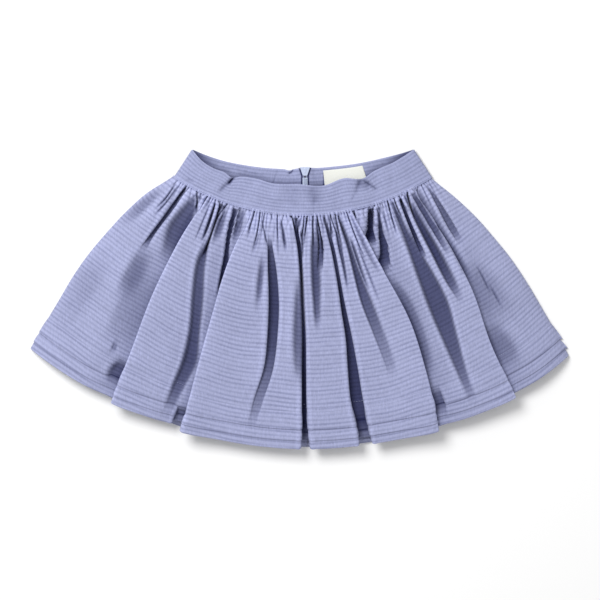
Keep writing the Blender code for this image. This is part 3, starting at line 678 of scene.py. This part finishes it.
def show(name, mesh, finish, thickness=0.0):
    """Puts a finished mesh in the scene on its body, with a cloth thickness if it is an open sheet."""
    mesh.materials.append(finish)
    piece = in_scene(name, mesh)
    if thickness:
        wall = piece.modifiers.new("cloth", "SOLIDIFY")
        wall.thickness = thickness * MM
        wall.offset = 0.0
        wall.use_rim = True
    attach(piece, "skirt")
    return piece


def sheet_piece(name, points, cut, hollow, finish, thickness):
    """An open sheet of cloth, with its faces looking up."""
    mesh = grid_mesh(name, points, cut, hollow)
    bm = bmesh.new()
    bm.from_mesh(mesh)
    if np.mean([face.normal.z for face in bm.faces]) < 0:
        bmesh.ops.reverse_faces(bm, faces=bm.faces[:])
    bm.to_mesh(mesh)
    bm.free()
    return show(name, mesh, finish, thickness)


def close_tube(mesh):
    """Joins the first and last rows of a grid that was wrapped round, and caps its two ends."""
    bm = bmesh.new()
    bm.from_mesh(mesh)
    bmesh.ops.remove_doubles(bm, verts=bm.verts[:], dist=0.00001)
    open_edges = [edge for edge in bm.edges if edge.is_boundary]
    bmesh.ops.holes_fill(bm, edges=open_edges, sides=0)
    bmesh.ops.recalc_face_normals(bm, faces=bm.faces[:])
    if bm.calc_volume(signed=True) < 0:
        bmesh.ops.reverse_faces(bm, faces=bm.faces[:])
    for face in bm.faces:
        face.smooth = True
    bm.to_mesh(mesh)
    bm.free()


# Materials

def fresh_material(name):
    made = bpy.data.materials.new(name)
    made.use_nodes = True
    made.node_tree.nodes.clear()
    output = made.node_tree.nodes.new("ShaderNodeOutputMaterial")
    shader = made.node_tree.nodes.new("ShaderNodeBsdfPrincipled")
    made.node_tree.links.new(shader.outputs["BSDF"], output.inputs["Surface"])
    return made, made.node_tree, shader


def fill(tree, node, inputs):
    """Links or sets a node's inputs."""
    for key, value in inputs.items():
        if isinstance(value, bpy.types.NodeSocket):
            tree.links.new(value, node.inputs[key])
        else:
            node.inputs[key].default_value = value


def add(tree, kind, inputs=None, **settings):
    """Adds a node, sets it, and fills its inputs."""
    node = tree.nodes.new(kind)
    for key, value in settings.items():
        setattr(node, key, value)
    fill(tree, node, inputs or {})
    return node


def maths(tree, operation, first, second=0.0, third=0.0):
    return add(tree, "ShaderNodeMath", {0: first, 1: second, 2: third}, operation=operation).outputs[0]


def times(tree, first, second):
    return maths(tree, "MULTIPLY", first, second)


def graded(tree, value, gain, base):
    return maths(tree, "MULTIPLY_ADD", value, gain, base)


def mixed(tree, share, first, second, blend="MIX"):
    inputs = {0: share, 6: first, 7: second}
    return add(tree, "ShaderNodeMix", inputs, data_type="RGBA", blend_type=blend).outputs[2]


def scaled_noise(tree, place, scale, detail, rough=0.5):
    """Noise on the cut cloth, with its own scale across and down it, in waves a metre."""
    mapping = add(tree, "ShaderNodeMapping", {"Vector": place, "Scale": (*scale, 1.0)})
    inputs = {"Vector": mapping.outputs[0], "Scale": 1.0, "Detail": detail, "Roughness": rough}
    return add(tree, "ShaderNodeTexNoise", inputs, noise_dimensions="2D").outputs[0]


def ribbed_cotton(name, light, dark, rib_pitch):
    """Matt crinkled cotton with soft ribs across it: wide light ones, and narrow darker ones between. Its
    colour also carries painted shade in the folds and painted highlight on crests, read from the hollow
    attribute.
    """
    made, tree, shader = fresh_material(name)
    place = add(tree, "ShaderNodeUVMap", uv_map="cut").outputs[0]
    parts = add(tree, "ShaderNodeSeparateXYZ", {0: place})
    wander = scaled_noise(tree, place, (18, 30), 2.0)
    drifted = graded(tree, wander, 0.0024, parts.outputs[1])
    crinkle = scaled_noise(tree, place, (1300, 330), 3.0, 0.6)
    shaken = graded(tree, crinkle, 0.0013, drifted)
    wave = maths(tree, "SINE", times(tree, shaken, math.tau * 1000 / rib_pitch))
    steps = {0: wave, 1: -0.85, 2: 0.5}
    rib = add(tree, "ShaderNodeMapRange", steps, interpolation_type="SMOOTHSTEP").outputs[0]
    patches = scaled_noise(tree, place, (22, 130), 3.0)
    strength = add(tree, "ShaderNodeMapRange", {0: patches, 1: 0.35, 2: 0.62, 3: 0.9, 4: 0.5}).outputs[0]
    groove = times(tree, maths(tree, "SUBTRACT", 1.0, rib), strength)
    colour = mixed(tree, groove, (*light, 1), (*dark, 1))
    pleats = graded(tree, scaled_noise(tree, place, (520, 120), 3.0, 0.6), 0.34, 0.83)
    speck = times(tree, graded(tree, crinkle, 0.40, 0.80), pleats)
    cloud = graded(tree, scaled_noise(tree, place, (22, 22), 3.0), 0.16, 0.92)
    streak = graded(tree, scaled_noise(tree, place, (12, 420), 2.0), 0.14, 0.93)
    # The hollow attribute paints shade into the colour deep in the folds, bluish, and painted highlight where
    # it falls below 0
    hollow = add(tree, "ShaderNodeAttribute", attribute_name="hollow").outputs["Fac"]
    inner = maths(tree, "MAXIMUM", hollow, 0.0)
    painted_fold_shade = mixed(tree, inner, (1.0, 1.0, 1.0, 1), (0.06, 0.068, 0.17, 1))
    # Painted highlight on crests
    painted_crest_light = graded(tree, maths(tree, "MINIMUM", hollow, 0.0), -0.7, 1.0)
    # The cloth's random tone, times the painted highlight on crests
    shade = times(tree, times(tree, speck, cloud), times(tree, streak, painted_crest_light))
    tone_and_painted_light = add(tree, "ShaderNodeCombineColor", {0: shade, 1: shade, 2: shade}).outputs[0]
    toned_colour_and_painted_light = mixed(tree, 1.0, colour, tone_and_painted_light, "MULTIPLY")
    thread = 0.42
    warp = maths(tree, "SINE", times(tree, parts.outputs[0], math.tau * 1000 / thread))
    weft = maths(tree, "SINE", times(tree, parts.outputs[1], math.tau * 1000 / thread))
    weave = times(tree, warp, weft)
    height = graded(tree, rib, 0.16, times(tree, crinkle, 0.5))
    height = graded(tree, weave, 0.03, height)
    bump = add(tree, "ShaderNodeBump", {"Height": height, "Strength": 0.7, "Distance": 0.0006})
    # The base colour carries the painted shade of the folds
    fill(tree, shader, {
        "Base Color": mixed(tree, 1.0, toned_colour_and_painted_light, painted_fold_shade, "MULTIPLY"),
        "Normal": bump.outputs[0],
        "Roughness": graded(tree, crinkle, 0.15, 0.74),
        "Sheen Weight": 0.12,
        "Sheen Roughness": 0.45,
        "Specular IOR Level": 0.25,
    })
    return made


def label_satin():
    made, tree, shader = fresh_material("cream_label_satin")
    place = add(tree, "ShaderNodeUVMap", uv_map="cut").outputs[0]
    parts = add(tree, "ShaderNodeSeparateXYZ", {0: place})
    fine = scaled_noise(tree, place, (900, 2600), 3.0)
    weft = maths(tree, "SINE", times(tree, parts.outputs[1], math.tau / 0.0005))
    height = graded(tree, fine, 0.6, times(tree, weft, 0.3))
    bump = add(tree, "ShaderNodeBump", {"Height": height, "Strength": 0.4, "Distance": 0.0002})
    fill(tree, shader, {
        "Base Color": mixed(tree, fine, (0.72, 0.73, 0.67, 1), (0.84, 0.85, 0.79, 1)),
        "Normal": bump.outputs[0],
        "Roughness": 0.5,
        "Sheen Weight": 0.1,
    })
    return made


def speckled(name, scale, detail, dark, light, constants, rough=None):
    """Fine noise between two colours. ROUGH is how much it adds to the roughness, and the least of that."""
    made, tree, shader = fresh_material(name)
    place = add(tree, "ShaderNodeTexCoord").outputs["Object"]
    noise = add(tree, "ShaderNodeTexNoise", {"Vector": place, "Scale": scale, "Detail": detail}).outputs[0]
    fill(tree, shader, {"Base Color": mixed(tree, noise, (*dark, 1), (*light, 1)), **constants})
    if rough:
        fill(tree, shader, {"Roughness": graded(tree, noise, *rough)})
    return made


def enamel():
    dark, light = (0.43, 0.49, 0.66), (0.53, 0.60, 0.79)
    coat = {"Metallic": 0.15, "Coat Weight": 0.4, "Coat Roughness": 0.2}
    return speckled("pale_blue_zip_enamel", 900.0, 3.0, dark, light, coat, (0.2, 0.25))


def coil_nylon():
    dark, light = (0.36, 0.42, 0.58), (0.48, 0.54, 0.70)
    return speckled("pale_blue_coil_nylon", 1500.0, 2.0, dark, light, {}, (0.2, 0.35))


def sewing_thread(name, colour):
    dark = tuple(0.75 * part for part in colour)
    return speckled(name, 2600.0, 2.0, dark, colour, {"Roughness": 0.6, "Sheen Weight": 0.2})


# Pieces

def front_rows():
    """Rows of the front, closest together at the waist seam, then the turned hem: drop, and height off."""
    downs = np.concatenate([
        np.linspace(-1.6, 20.0, 17), np.linspace(21.8, 60.0, 17), np.linspace(64.0, 222.0, 31),
        [225.0, 226.2, 227.0, 227.8, 229.0, 233.0, 237.0, 238.2, 239.0, 239.8, 241.5, 245.0, 246.5, 247.0],
    ])
    rows = [(down / PANEL_LENGTH, 0.0) for down in downs]
    turned = ((0.2, -0.5), (0.0, -0.9), (-0.5, -1.1), (-4.0, -1.15), (-14.0, -1.15))
    return rows + [(1 + down / PANEL_LENGTH, lift) for down, lift in turned]


def front_piece(finish):
    rows = front_rows()
    runs, lifts = np.array(rows).T
    shares = front_columns(runs, FRONT_COLUMNS)
    drops = np.broadcast_to(runs[:, None], shares.shape)
    points = front_cloth(shares, drops)
    normals = surface_normals(front_cloth, shares, drops, 0.002, 0.002)
    points = points + normals * lifts[:, None, None]
    cut = np.stack(front_ribs(shares, drops), axis=-1)
    hollow = front_painted_shade(shares, drops)
    piece = sheet_piece("front_cloth", points, cut, hollow, finish, CLOTH)
    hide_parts("front_panel")
    return piece


def tuck_piece(name, stitched, folded, finish):
    """A tuck laid down towards the hem: its upper layer, folded edge, and a little of its lower layer."""
    spread = np.linspace(0, 1, 9)
    downs = stitched + (folded - stitched) * spread
    rows = list(zip(downs, 0.05 + TUCK_LIFT * ease(spread * 1.6)))
    rows += [(folded + above, lift) for above, lift in TUCK_TURN]
    above, lift = np.array(rows).T
    runs = 1 - above / PANEL_LENGTH
    base = front_columns(np.clip(runs, 0, 1), TUCK_COLUMNS)
    out = np.clip((stitched - above) / (stitched - folded), 0, 1)[:, None]
    shares = base * (1 + out * np.where(base < 0, *TUCK_OVERHANG) / HALF_WIDTH)
    drops = np.broadcast_to(runs[:, None], shares.shape)
    inner = np.clip(shares, -1, 1)
    points = front_cloth(inner, drops)
    points[..., 0] += (shares - inner) * HALF_WIDTH
    normals = surface_normals(front_cloth, inner, drops, 0.002, 0.004)
    points = points + normals * lift[:, None, None]
    u, v = front_ribs(inner, drops)
    cut = np.stack([u, v + 1.7], axis=-1)
    return sheet_piece(name, points, cut, front_painted_shade(inner, drops), finish, TUCK_CLOTH)


def zip_lift(bearing, radius):
    """The back's rise over the zip's pull."""
    beside = across(bearing, ZIP_BEARING, radius) / ZIP_LIFT_WIDTH
    fall = np.clip((ZIP_LIFT_TO - radius) / (ZIP_LIFT_TO - ZIP_LIFT_FROM), 0, 1)
    return ZIP_LIFT * bell(beside) * fall


def back_top_radius(bearing):
    return along(BACK_BAND_TOP, (bearing / SEAM_BEARING + 1) / 2)


def back_seam_radius(bearing):
    return back_top_radius(bearing) + BAND_HEIGHT


def back_underside(bearing, radius, share, drop):
    """Height of the back panels' outer side, which lies on the surface but for its gathers and waves."""
    gathers = BACK_GATHER_HEIGHT * np.cos(math.pi * BACK_GATHERS * (share + 1))
    gathers = gathers * np.exp(-drop / BACK_GATHER_REACH)
    waves = BACK_WAVE_HEIGHT * np.cos(math.tau * bearing / BACK_WAVE_BEARING)
    waves = waves * ease(drop / BACK_WAVE_FULL_DROP)
    folds = (gathers + waves) * (1 - bell(across(bearing, ZIP_BEARING, radius) / BESIDE_ZIP))
    folds = folds * ease((BACK_SHARE_FLAT - np.abs(share)) / BACK_SHARE_FADE)
    return np.maximum(folds - BACK_FLAT_TRIM, 0) + zip_lift(bearing, radius)


def back_place(side, share, drop):
    """Bearing and radius on a back panel, SHARE from the zip (0) to the side seam (1)."""
    outer = side_bearing(np.full_like(share, side), drop)
    radius = SEAM_RADIUS + drop * PANEL_LENGTH
    slit = np.where(radius < ZIP_END_RADIUS, ZIP_HALF_SLIT, HALF_SLIT_BELOW)
    start = ZIP_BEARING + side * np.degrees(slit / radius)
    bearing = start + share * (side * outer - start)
    seam = back_seam_radius(bearing * SEAM_BEARING / outer) + SEAM_GAP
    return bearing, seam + drop * (hem_radius(bearing / outer) - BACK_HEM_INSET - seam)


def back_piece(side, word, finish):
    name = "back_cloth_" + word
    shares, drops = np.meshgrid(np.linspace(0, 1, 190), np.linspace(0, 1, 70))
    bearing, radius = back_place(side, shares, drops)
    height = back_underside(bearing, radius, side * shares, drops) + CLOTH / 2
    points = fan_point(bearing, radius, height)
    cut = np.stack([np.radians(bearing) * radius, radius - SEAM_RADIUS], axis=-1)
    piece = sheet_piece(name, points, cut, None, finish, CLOTH)
    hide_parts("back_panel_" + word)
    return piece


def band_profile(height, thickness):
    """Rows round a doubled band's section: place up the band as a share, and height off its middle."""
    edge = BAND_CORNER * thickness / height
    half = thickness / 2
    outer = [(rise, half) for rise in np.linspace(edge, 1 - edge, 15)]
    inner = [(1 - rise, -half) for rise in np.linspace(edge, 1 - edge, 8)]
    bottom = [(rise * edge, side * half) for rise, side in BAND_TURN]
    top = [(1 - rise, -lift) for rise, lift in bottom]
    return outer + top + inner + bottom + [outer[0]]


def crease_relief(points, creases):
    """How far creases, each a line on the laid skirt, sink the cloth at its points."""
    rise = np.zeros(points.shape[:-1])
    for x1, y1, x2, y2, width, depth in creases:
        start = np.array([x1, y1])
        way = np.array([x2 - x1, y2 - y1])
        length = np.hypot(*way)
        from_start = points[..., :2] - start
        run = from_start @ way / length**2
        beside = (from_start[..., 0] * way[1] - from_start[..., 1] * way[0]) / length
        fade = bell(np.maximum(np.abs(run - 0.5) - CREASE_FULL, 0) / CREASE_FADE)
        rise -= depth * fade * bell(beside / width)
    return rise


def front_band_shade(points, rises):
    """Painted shade in the front band's creases, and a painted highlight on its lower edge."""
    creases = BAND_CREASE_SHADE * crease_relief(points, BAND_CREASES)
    return -creases - BAND_EDGE_LIGHT * bell((rises - 0.02) / 0.03)


def front_band_middle(share, rise):
    """Middle of the front waistband."""
    bearing = share * SEAM_BEARING
    top = through(FRONT_BAND_TOP, bearing)
    radius = SEAM_RADIUS + BAND_OVER_SEAM + rise * (top - SEAM_RADIUS - BAND_OVER_SEAM)
    flat = fan_point(bearing, radius, 0.0)
    relief = crease_relief(flat, BAND_CREASES)
    relief += sum(height * bell((rise - place) / width) for height, place, width in BAND_ROLLS)
    for height, across_rate, up_rate, start in BAND_WAVES:
        relief += height * np.sin(bearing * across_rate + rise * up_rate + start)
    level = front_band_level(share) + BAND_CLOTH / 2 + BAND_LIFT
    return fan_point(bearing, radius, level + relief * crown(share, SIDE_ROUNDNESS))


def back_band_shade(points, rises):
    """Painted shade on the back band under the front band's edge, in the corners and beside the zip, along its
    seam, beside the label and in its creases.
    """
    x, y = points[..., 0] - FAN_X, FAN_Y - points[..., 1]
    bearing, radius = np.degrees(np.arctan2(x, y)), np.hypot(x, y)
    from_edge = through(FRONT_BAND_TOP, bearing) - radius
    strength, reach = UNDER_EDGE_SHADE
    shade = strength * ease(1 - from_edge / reach)
    strength, place, reach = CORNER_SHADE
    shade += strength * ease((np.abs(bearing) - place) / reach)
    from_zip = np.abs(across(bearing, ZIP_BEARING, radius))
    flare = SLIDER_FLARE * np.clip((CHAIN_START - 2 - radius) / SLIDER_FLARE_LONG, 0, 1)
    strength, place, width = BESIDE_ZIP_SHADE
    shade += strength * bell((from_zip - place - flare) / width)
    strength, width = BACK_SEAM_SHADE
    shade += strength * bell(rises / width)
    from_label = points[..., 0] - (LABEL_X - LABEL_WIDE / 2)
    strength, place, width = BESIDE_LABEL_SHADE
    shade += strength * bell((from_label + place) / width) * (radius > CHAIN_START - 6)
    return shade - BAND_CREASE_SHADE * crease_relief(points, BACK_BAND_CREASES)


def back_band_middle(side):
    """Middle of one half of the back waistband, SHARE from -1 at the zip to 1 at the side."""

    def place(share, rise):
        start = ZIP_BEARING + side * math.degrees(ZIP_HALF_SLIT / SLIDER_RADIUS)
        bearing = start + (share + 1) / 2 * (side * SEAM_BEARING - start)
        beside_zip = across(bearing, ZIP_BEARING, SLIDER_RADIUS)
        pulled = ZIP_BAND_RISE * bell(beside_zip / ZIP_BAND_RISE_WIDTH)
        pulled = pulled - BAND_NOTCH * bell((beside_zip + BAND_NOTCH_FROM_ZIP) / BAND_NOTCH_WIDTH)
        radius = back_seam_radius(bearing) - rise * BAND_HEIGHT - pulled * rise**4
        flat = fan_point(bearing, radius, 0.0)
        sunk = BACK_CREASE_SINK * crease_relief(flat, BACK_BAND_CREASES)
        return fan_point(bearing, radius, zip_lift(bearing, radius) + BAND_CLOTH / 2 + sunk)

    return place


def band_piece(name, middle, count, thickness, width, finish, node, height=BAND_HEIGHT, shade=None):
    """A doubled band of cloth with rounded edges, closed all round. SHADE gives the painted shade and
    highlight at its points.
    """
    runs, lifts = np.array(band_profile(height, thickness)).T
    shares, rises = np.meshgrid(np.linspace(-1, 1, count), runs)
    normals = surface_normals(middle, shares, rises, 0.004, 0.02)
    points = middle(shares, rises) + normals * lifts[:, None, None]
    cut = np.stack([shares * width / 2, rises * height], axis=-1)
    mesh = grid_mesh(name, points, cut, shade(points, rises) if shade else None)
    close_tube(mesh)
    piece = show(name, mesh, finish)
    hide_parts(node)
    return piece


def label_middle(share, rise):
    x = LABEL_X + share * LABEL_WIDE / 2
    bearing = np.degrees(np.arcsin((x - FAN_X) / (SEAM_RADIUS - BAND_HEIGHT)))
    radius = back_top_radius(bearing) + LABEL_TOP_DROP + (1 - rise) * LABEL_TALL
    puff = LABEL_PUFF * np.sin(math.pi * np.clip(rise, 0, 1)) * (1 - share**2)
    return fan_point(bearing, radius, zip_lift(bearing, radius) + BAND_CLOTH + LABEL_LIFT + puff)


def seed_stitches(name, places, finish, length, width=0.42):
    """A row of stitches, each a small rounded thread: PLACES has the middle, way and normal of each."""
    bm = bmesh.new()
    for middle, way, normal in places:
        made = bmesh.ops.create_uvsphere(bm, u_segments=6, v_segments=4, radius=0.5)
        side = np.cross(normal, way)
        for vert in made["verts"]:
            x, y, z = vert.co
            tall = width * STITCH_FLATNESS
            vert.co = (middle + way * z * length + side * x * width + normal * y * tall) * MM
    for face in bm.faces:
        face.smooth = True
    return show(name, mesh_of(bm, name), finish)


def stitch_places(surface, shares, run, lift):
    """Middle, direction and normal of each stitch along a line of a surface."""
    shares = np.asarray(shares, float)
    runs = np.full_like(shares, run)
    ahead = unit(surface(shares + 0.0015, runs) - surface(shares - 0.0015, runs))
    normals = surface_normals(surface, shares, runs, 0.0015, 0.004)
    normals = unit(normals - ahead * np.sum(normals * ahead, axis=-1, keepdims=True))
    return list(zip(surface(shares, runs) + normals * lift, ahead, normals))


def zip_line(radius, beside):
    """A point beside the zip's line at a radius, at the height of the chain's tape."""
    bearing = ZIP_BEARING + np.degrees(beside / radius)
    past_band = np.clip((radius - ZIP_BAND_END) / (ZIP_LIFT_TO - ZIP_BAND_END), 0, 1)
    carried = BAND_CLOTH + (CHAIN_THICK - BAND_CLOTH) * past_band
    return fan_point(bearing, radius, zip_lift(bearing, radius) + carried + CHAIN_LIFT)


def zip_pieces(finish):
    """The two tapes, and the coil's teeth along the zip's line."""
    in_band = np.linspace(CHAIN_START, ZIP_LIFT_TO, 40)
    radii = np.concatenate([in_band, np.linspace(ZIP_LIFT_TO + 3, ZIP_END_RADIUS, 24)])
    besides, rows = np.meshgrid(np.linspace(-TAPE_HALF_WIDTH, TAPE_HALF_WIDTH, 9), radii)
    points = zip_line(rows, besides)
    points[..., 2] += TAPE_LIFT
    cut = np.stack([besides, rows], axis=-1)
    tape = sheet_piece("zip_tape", points, cut, None, finish, 0.4)
    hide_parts("zip_chain")
    places = []
    for number in range(int((ZIP_END_RADIUS - CHAIN_START - 2) / TOOTH_PITCH * 2)):
        side = 1 if number % 2 else -1
        radius = np.float64(CHAIN_START + FIRST_TOOTH + number * TOOTH_PITCH / 2)
        middle = zip_line(radius, np.float64(side * TOOTH_FROM_MIDDLE)) + TOOTH_LIFT * UP
        places.append((middle, unit(np.array([1.0, TOOTH_SLANT * side, 0.0])), UP))
    teeth = seed_stitches("zip_teeth", places, finish, 2.3, 0.85)
    return tape, teeth


def rounded_block(bm, centre, size, corner, narrow):
    """A block with rounded edges all round, narrowed towards its lower end."""
    made = bmesh.ops.create_cube(bm, size=1.0)
    for vert in made["verts"]:
        x, y, z = vert.co
        wide = narrow if y < 0 else 1.0
        corners = zip(centre, size, (x * wide, y, z))
        vert.co = [MM * (middle + side * part) for middle, side, part in corners]
    edges = list({edge for vert in made["verts"] for edge in vert.link_edges})
    bmesh.ops.bevel(
        bm, geom=edges, offset=corner * MM, offset_type="OFFSET", segments=3, affect="EDGES", profile=0.5,
        material=-1,
    )


def slider_piece(finish):
    low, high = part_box("zip_slider")
    x, y = [1000 * (low[k] + high[k]) / 2 for k in (0, 1)]
    top = 1000 * high.z
    bm = bmesh.new()
    blocks = (
        # up the skirt from the middle, height, size, rounding, narrowing towards the lower end
        (ZIP_BAND_RISE, top - 0.6, (11.0, 9.2, 1.1), 0.45, 0.42),
        (ZIP_BAND_RISE + 0.6, top - 0.15, (3.0, 5.0, 0.9), 0.35, 0.5),
        (0.0, 3.4, (6.0, 8.0, 0.7), 0.3, 1.0),
        (0.0, 5.0, (1.6, 3.0, 3.6), 0.3, 1.0),
        (1.4, 1.9, (1.4, 0.8, 3.0), 0.25, 1.0),
        (-1.4, 1.9, (1.4, 0.8, 3.0), 0.25, 1.0),
        (0.0, 0.75, (1.4, 3.4, 0.7), 0.25, 1.0),
    )
    for up, height, size, corner, narrow in blocks:
        rounded_block(bm, (x, y + up, height), size, corner, narrow)
    piece = show("slider_body", mesh_of(bm, "slider_body"), finish)
    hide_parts("zip_slider")


def pull_piece(finish):
    """The pull keeps the turned part's own form, with its edges rounded."""
    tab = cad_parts["zip_pull"]
    edge = tab.modifiers.new("soft_edges", "BEVEL")
    edge.width = 0.15 * MM
    edge.segments = 2
    edge.limit_method = "ANGLE"
    tab.data.materials.clear()
    tab.data.materials.append(finish)


def build_skirt():
    light = (0.348, 0.371, 0.565)
    dark = (0.240, 0.258, 0.420)
    body_cotton = ribbed_cotton("ribbed_lavender_cotton", light, dark, 4.6)
    band_light = (0.317, 0.341, 0.531)
    band_dark = (0.225, 0.244, 0.402)
    band_cotton = ribbed_cotton("ribbed_band_cotton", band_light, band_dark, 3.9)
    thread = sewing_thread("lavender_thread", (0.36, 0.39, 0.60))
    cream_thread = sewing_thread("cream_thread", (0.85, 0.85, 0.78))
    satin = label_satin()
    metal = enamel()
    nylon = coil_nylon()

    front = front_piece(body_cotton)
    tucks = [tuck_piece(*tuck, body_cotton) for tuck in TUCKS]
    stitch_shares = np.linspace(-0.985, 0.985, 210)
    places = stitch_places(front_cloth, stitch_shares, 1 - STITCHED / PANEL_LENGTH, 0.55)
    tuck_stitches = seed_stitches("tuck_stitches", places, thread, 2.2)

    front_band = band_piece(
        "front_band", front_band_middle, 330, 1.8, 290, band_cotton, "front_waistband",
        shade=front_band_shade,
    )
    places = stitch_places(front_band_middle, np.linspace(-0.975, 0.975, 120), 0.045, 0.95)
    band_stitches = seed_stitches("band_stitches", places, thread, 1.7, 0.35)

    for side, word in ((-1, "left"), (1, "right")):
        back = back_piece(side, word, body_cotton)
        band = band_piece(
            "back_band_" + word, back_band_middle(side), 150, 1.9, 137, band_cotton,
            "back_waistband_" + word, shade=back_band_shade,
        )

    label = band_piece(
        "label_blank", label_middle, 60, 0.7, LABEL_WIDE, satin, "label", LABEL_TALL,
    )
    places = []
    for end in (-0.955, 0.955):
        for rise in np.linspace(0.12, 0.9, 9):
            middle = label_middle(np.float64(end), np.float64(rise)) + 0.38 * UP
            places.append((middle, np.array([0.0, 1.0, 0.0]), UP))
    label_stitches = seed_stitches("label_stitches", places, cream_thread, 1.3, 0.3)
    tape, teeth = zip_pieces(nylon)
    slider_piece(metal)
    pull_piece(metal)


# Floor, light and camera

def plain_floor():
    bm = bmesh.new()
    bmesh.ops.create_grid(bm, x_segments=1, y_segments=1, size=6.0)
    mesh = mesh_of(bm, "floor")
    matt = {"Roughness": 0.9, "Specular IOR Level": 0.1}
    mesh.materials.append(speckled("pale_floor", 3.0, 2.0, (0.93, 0.93, 0.93), (0.95, 0.95, 0.95), matt))
    floor = in_scene("floor", mesh)
    floor.location.z = -0.0004


def soft_light(name, place, size, energy):
    """A round lamp that points at the skirt's middle."""
    data = bpy.data.lights.new(name, "AREA")
    data.shape = "DISK"
    data.size = size
    data.energy = energy
    lamp = in_scene(name, data)
    lamp.location = place
    lamp.rotation_mode = "QUATERNION"
    lamp.rotation_quaternion = lamp.location.to_track_quat("Z", "Y")


def studio():
    world = bpy.data.worlds.new("pale_studio")
    bpy.context.scene.world = world
    world.use_nodes = True
    sky = world.node_tree.nodes["Background"]
    sky.inputs["Color"].default_value = (1.0, 1.0, 1.0, 1.0)
    sky.inputs["Strength"].default_value = 0.6
    soft_light("key_upper_left", (-0.9, 1.0, 1.9), 1.2, 42.0)
    bpy.context.scene.view_settings.view_transform = "Standard"


def overhead_camera():
    """Straight above, as the photo was taken, from far enough to look nearly parallel."""
    view_width = 0.636
    cloth_height = 0.010
    distance = 3.0
    data = bpy.data.cameras.new("overhead")
    data.sensor_width = 36.0
    data.lens = data.sensor_width * distance / view_width
    camera = in_scene("overhead", data)
    camera.location = (0.00053, -0.00053, cloth_height + distance)
    bpy.context.scene.camera = camera


build_skirt()
plain_floor()
studio()
overhead_camera()

bpy.context.view_layer.update()
